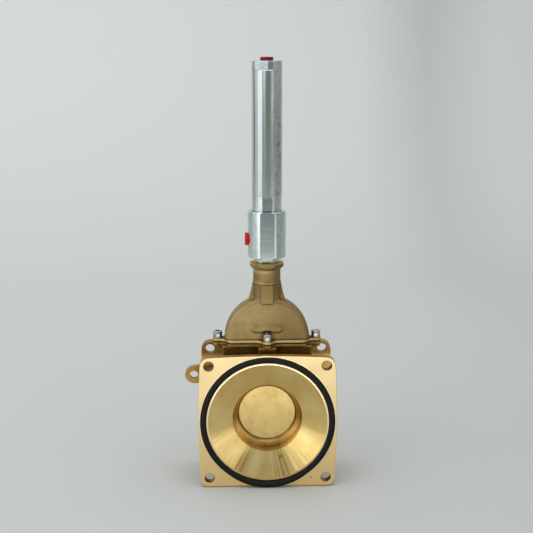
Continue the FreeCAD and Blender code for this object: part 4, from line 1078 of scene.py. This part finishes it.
class VALVE_OT_stage(bpy.types.Operator):
    """Set up the floor, backdrop, lamps and camera"""
    bl_idname = "valve.stage"
    bl_label = "Studio"

    def floor(self, studio):
        """A floor that curves up into a wall behind the valve."""
        half = studio.floor_size / 2
        bend = 0.6
        wall_height = 3.0
        mesh = bmesh.new()
        start = mesh.verts.new((-half, -studio.floor_front, CAD_LOW.z))
        end = mesh.verts.new((-half, studio.wall_distance - bend, CAD_LOW.z))
        mesh.edges.new((start, end))
        centre = (-half, studio.wall_distance - bend, CAD_LOW.z + bend)
        bmesh.ops.spin(mesh, geom=[end], cent=centre, axis=(1, 0, 0), angle=math.pi / 2, steps=24)
        mesh.verts.ensure_lookup_table()
        top = max(mesh.verts, key=lambda v: v.co.z)
        wall_top = mesh.verts.new((-half, studio.wall_distance, CAD_LOW.z + wall_height))
        mesh.edges.new((top, wall_top))
        result = bmesh.ops.extrude_edge_only(mesh, edges=mesh.edges[:])["geom"]
        moved = [item for item in result if isinstance(item, bmesh.types.BMVert)]
        bmesh.ops.translate(mesh, vec=(2 * half, 0, 0), verts=moved)
        bmesh.ops.recalc_face_normals(mesh, faces=mesh.faces)
        for face in mesh.faces:
            face.smooth = True
            if face.normal.z < -0.5 or face.normal.y > 0.5:
                face.normal_flip()
        data = bpy.data.meshes.new("seamless_paper")
        mesh.to_mesh(data)
        mesh.free()
        data.materials.append(backdrop_paper(studio))
        paper = bpy.data.objects.new("seamless_paper", data)
        bpy.context.scene.collection.objects.link(paper)

    def lamp(self, name, size, place_at, aim, radiance, hex_colour):
        """A soft rectangular lamp whose face glows with the radiance given."""
        data = bpy.data.lights.new(name, "AREA")
        data.shape = "RECTANGLE"
        data.size, data.size_y = size
        data.energy = radiance * math.pi * size[0] * size[1]
        data.color = linear(hex_colour)[:3]
        lamp = bpy.data.objects.new(name, data)
        bpy.context.scene.collection.objects.link(lamp)
        lamp.location = place_at
        lamp.rotation_euler = (Vector(aim) - Vector(place_at)).to_track_quat("-Z", "Y").to_euler()
        lamp.visible_camera = False

    def world(self):
        """A soft grey room: brighter overhead, dark behind the camera but for a pale doorway to the left,
        and an even grey where the camera sees it."""
        world = bpy.data.worlds.new("studio_room")
        world.use_nodes = True
        tree = world.node_tree
        tree.nodes.clear()
        x, y, z = add(tree, "SeparateXYZ", add(tree, "TexCoord").outputs["Generated"]).outputs
        rise_square = add(tree, "Math", z, z, operation="MULTIPLY")
        level_square = add(tree, "Math", 1.0, rise_square, operation="SUBTRACT")
        level = add(tree, "Math", level_square, operation="SQRT")
        forward = add(tree, "Math", y, -1.0, operation="MULTIPLY")
        ahead = add(tree, "Math", forward, level, operation="DIVIDE")
        side = add(tree, "Math", x, level, operation="DIVIDE")
        front_wall = add(tree, "MapRange", ahead, 0.82, 0.9)
        front = all_of(tree, front_wall, add(tree, "MapRange", z, 0.8, 0.55))
        unlit = any_of(tree, front, add(tree, "MapRange", z, 0.0, -0.06))
        lit_tone = tint(tree, "#C9CDCB", "#E6E9E7", add(tree, "MapRange", z, 0.05, 0.75))
        gloom = tint(tree, "#7B8383", "#C6CAC8", add(tree, "MapRange", z, 0.4, 0.62))
        room = tint(tree, lit_tone, gloom, unlit)
        doorway = all_of(
            tree, zone(tree, side, -0.5, -0.2, 0.02), zone(tree, z, -0.014, 0.22, 0.004, 0.02),
            zone(tree, ahead, 0.5))
        daylight = (1.7, 1.8, 1.85, 1.0)
        room = tint(tree, room, daylight, doorway)
        seen = add(tree, "LightPath").outputs["Is Camera Ray"]
        shown = tint(tree, room, "#C8CCCA", seen)
        add(tree, "OutputWorld", add(tree, "Background", shown, 1.0))
        bpy.context.scene.world = world

    def camera(self):
        """The camera, from the photograph's place: in front, a little left and above."""
        data = bpy.data.cameras.new("front_camera")
        data.lens = 70.9
        data.sensor_width = 36.0
        tilt_down = 11.64
        turn_right = 1.681
        camera = bpy.data.objects.new("front_camera", data)
        bpy.context.scene.collection.objects.link(camera)
        camera.location = (-0.03388, -1.10465, 0.40426)
        camera.rotation_euler = (math.radians(90 - tilt_down), 0.0, math.radians(-turn_right))
        bpy.context.scene.camera = camera

    def execute(self, context):
        studio = settings().studio
        self.floor(studio)
        self.world()
        aim = (0, 0, 0.15)
        self.lamp("left_window", (1.3, 1.5), (-1.56, -1.07, 0.55), aim, 1.32, "#F4FAFF")
        self.lamp("right_panel", (0.7, 0.65), (1.22, -1.46, 0.62), aim, 0.93, "#FFFAF2")
        self.lamp("overhead_panel", (1.6, 1.6), (0.0, -0.3, 2.0), aim, 1.5, "#FFFFFF")
        above_floor = CAD_LOW.z + 0.016
        self.lamp("front_card", (0.8, 0.6), (0.03, -0.6, above_floor), (0.03, -0.6, 1.0), 2.3, "#FFF8EC")
        self.lamp("wall_light", (2.5, 0.6), (-0.2, 0.8, 1.6), (-0.2, 1.7, 0.9), 1.3, "#FBF9FF")
        self.lamp("left_fanlight", (0.45, 0.7), (-0.95, -1.36, 0.98), aim, 1.2, "#F8FBFF")
        self.lamp("right_low_card", (0.5, 0.14), (0.74, -0.67, 0.0), (0.0, 0.04, 0.19), 0.95, "#F4FAFF")
        self.lamp("left_curtain", (0.8, 1.4), (-1.9, -0.07, 0.5), aim, 0.6, "#F4FAFF")
        self.camera()
        context.scene.view_settings.view_transform = "Standard"
        return {"FINISHED"}


def steel():
    """The stainless steel finish, made once."""
    return bpy.data.materials.get("bright_stainless_steel") or bright_stainless_steel(settings().metals)


OPERATORS = (
    VALVE_OT_stage, VALVE_OT_body, VALVE_OT_bonnet, VALVE_OT_flange_ring, VALVE_OT_screws, VALVE_OT_washers,
    VALVE_OT_plugs, VALVE_OT_cylinder, VALVE_OT_gate, VALVE_OT_seals,
)
GROUPS = (
    RingSizes, ScrewSizes, PlugSizes, CastingSizes, MetalColours, SoftColours, StudioSettings, ValveSettings,
)


class VALVE_PT_panel(bpy.types.Panel):
    """Lists the valve's pieces"""
    bl_label = "Slide gate valve"
    bl_space_type = "VIEW_3D"
    bl_region_type = "UI"
    bl_category = "Valve"

    def draw(self, context):
        for operator in OPERATORS:
            self.layout.operator(operator.bl_idname)


def register():
    """Registers the sizes, the operators and the panel."""
    for group in GROUPS + OPERATORS + (VALVE_PT_panel,):
        bpy.utils.register_class(group)
    bpy.types.Scene.slide_gate_valve = bpy.props.PointerProperty(type=ValveSettings)


def unregister():
    """Takes them away again."""
    del bpy.types.Scene.slide_gate_valve
    for group in reversed(GROUPS + OPERATORS + (VALVE_PT_panel,)):
        bpy.utils.unregister_class(group)


def main():
    """Makes every piece and the studio."""
    register()
    for operator in OPERATORS:
        getattr(bpy.ops.valve, operator.bl_idname.split(".")[1])()
    bpy.context.view_layer.update()


if __name__ == "__main__":
    main()
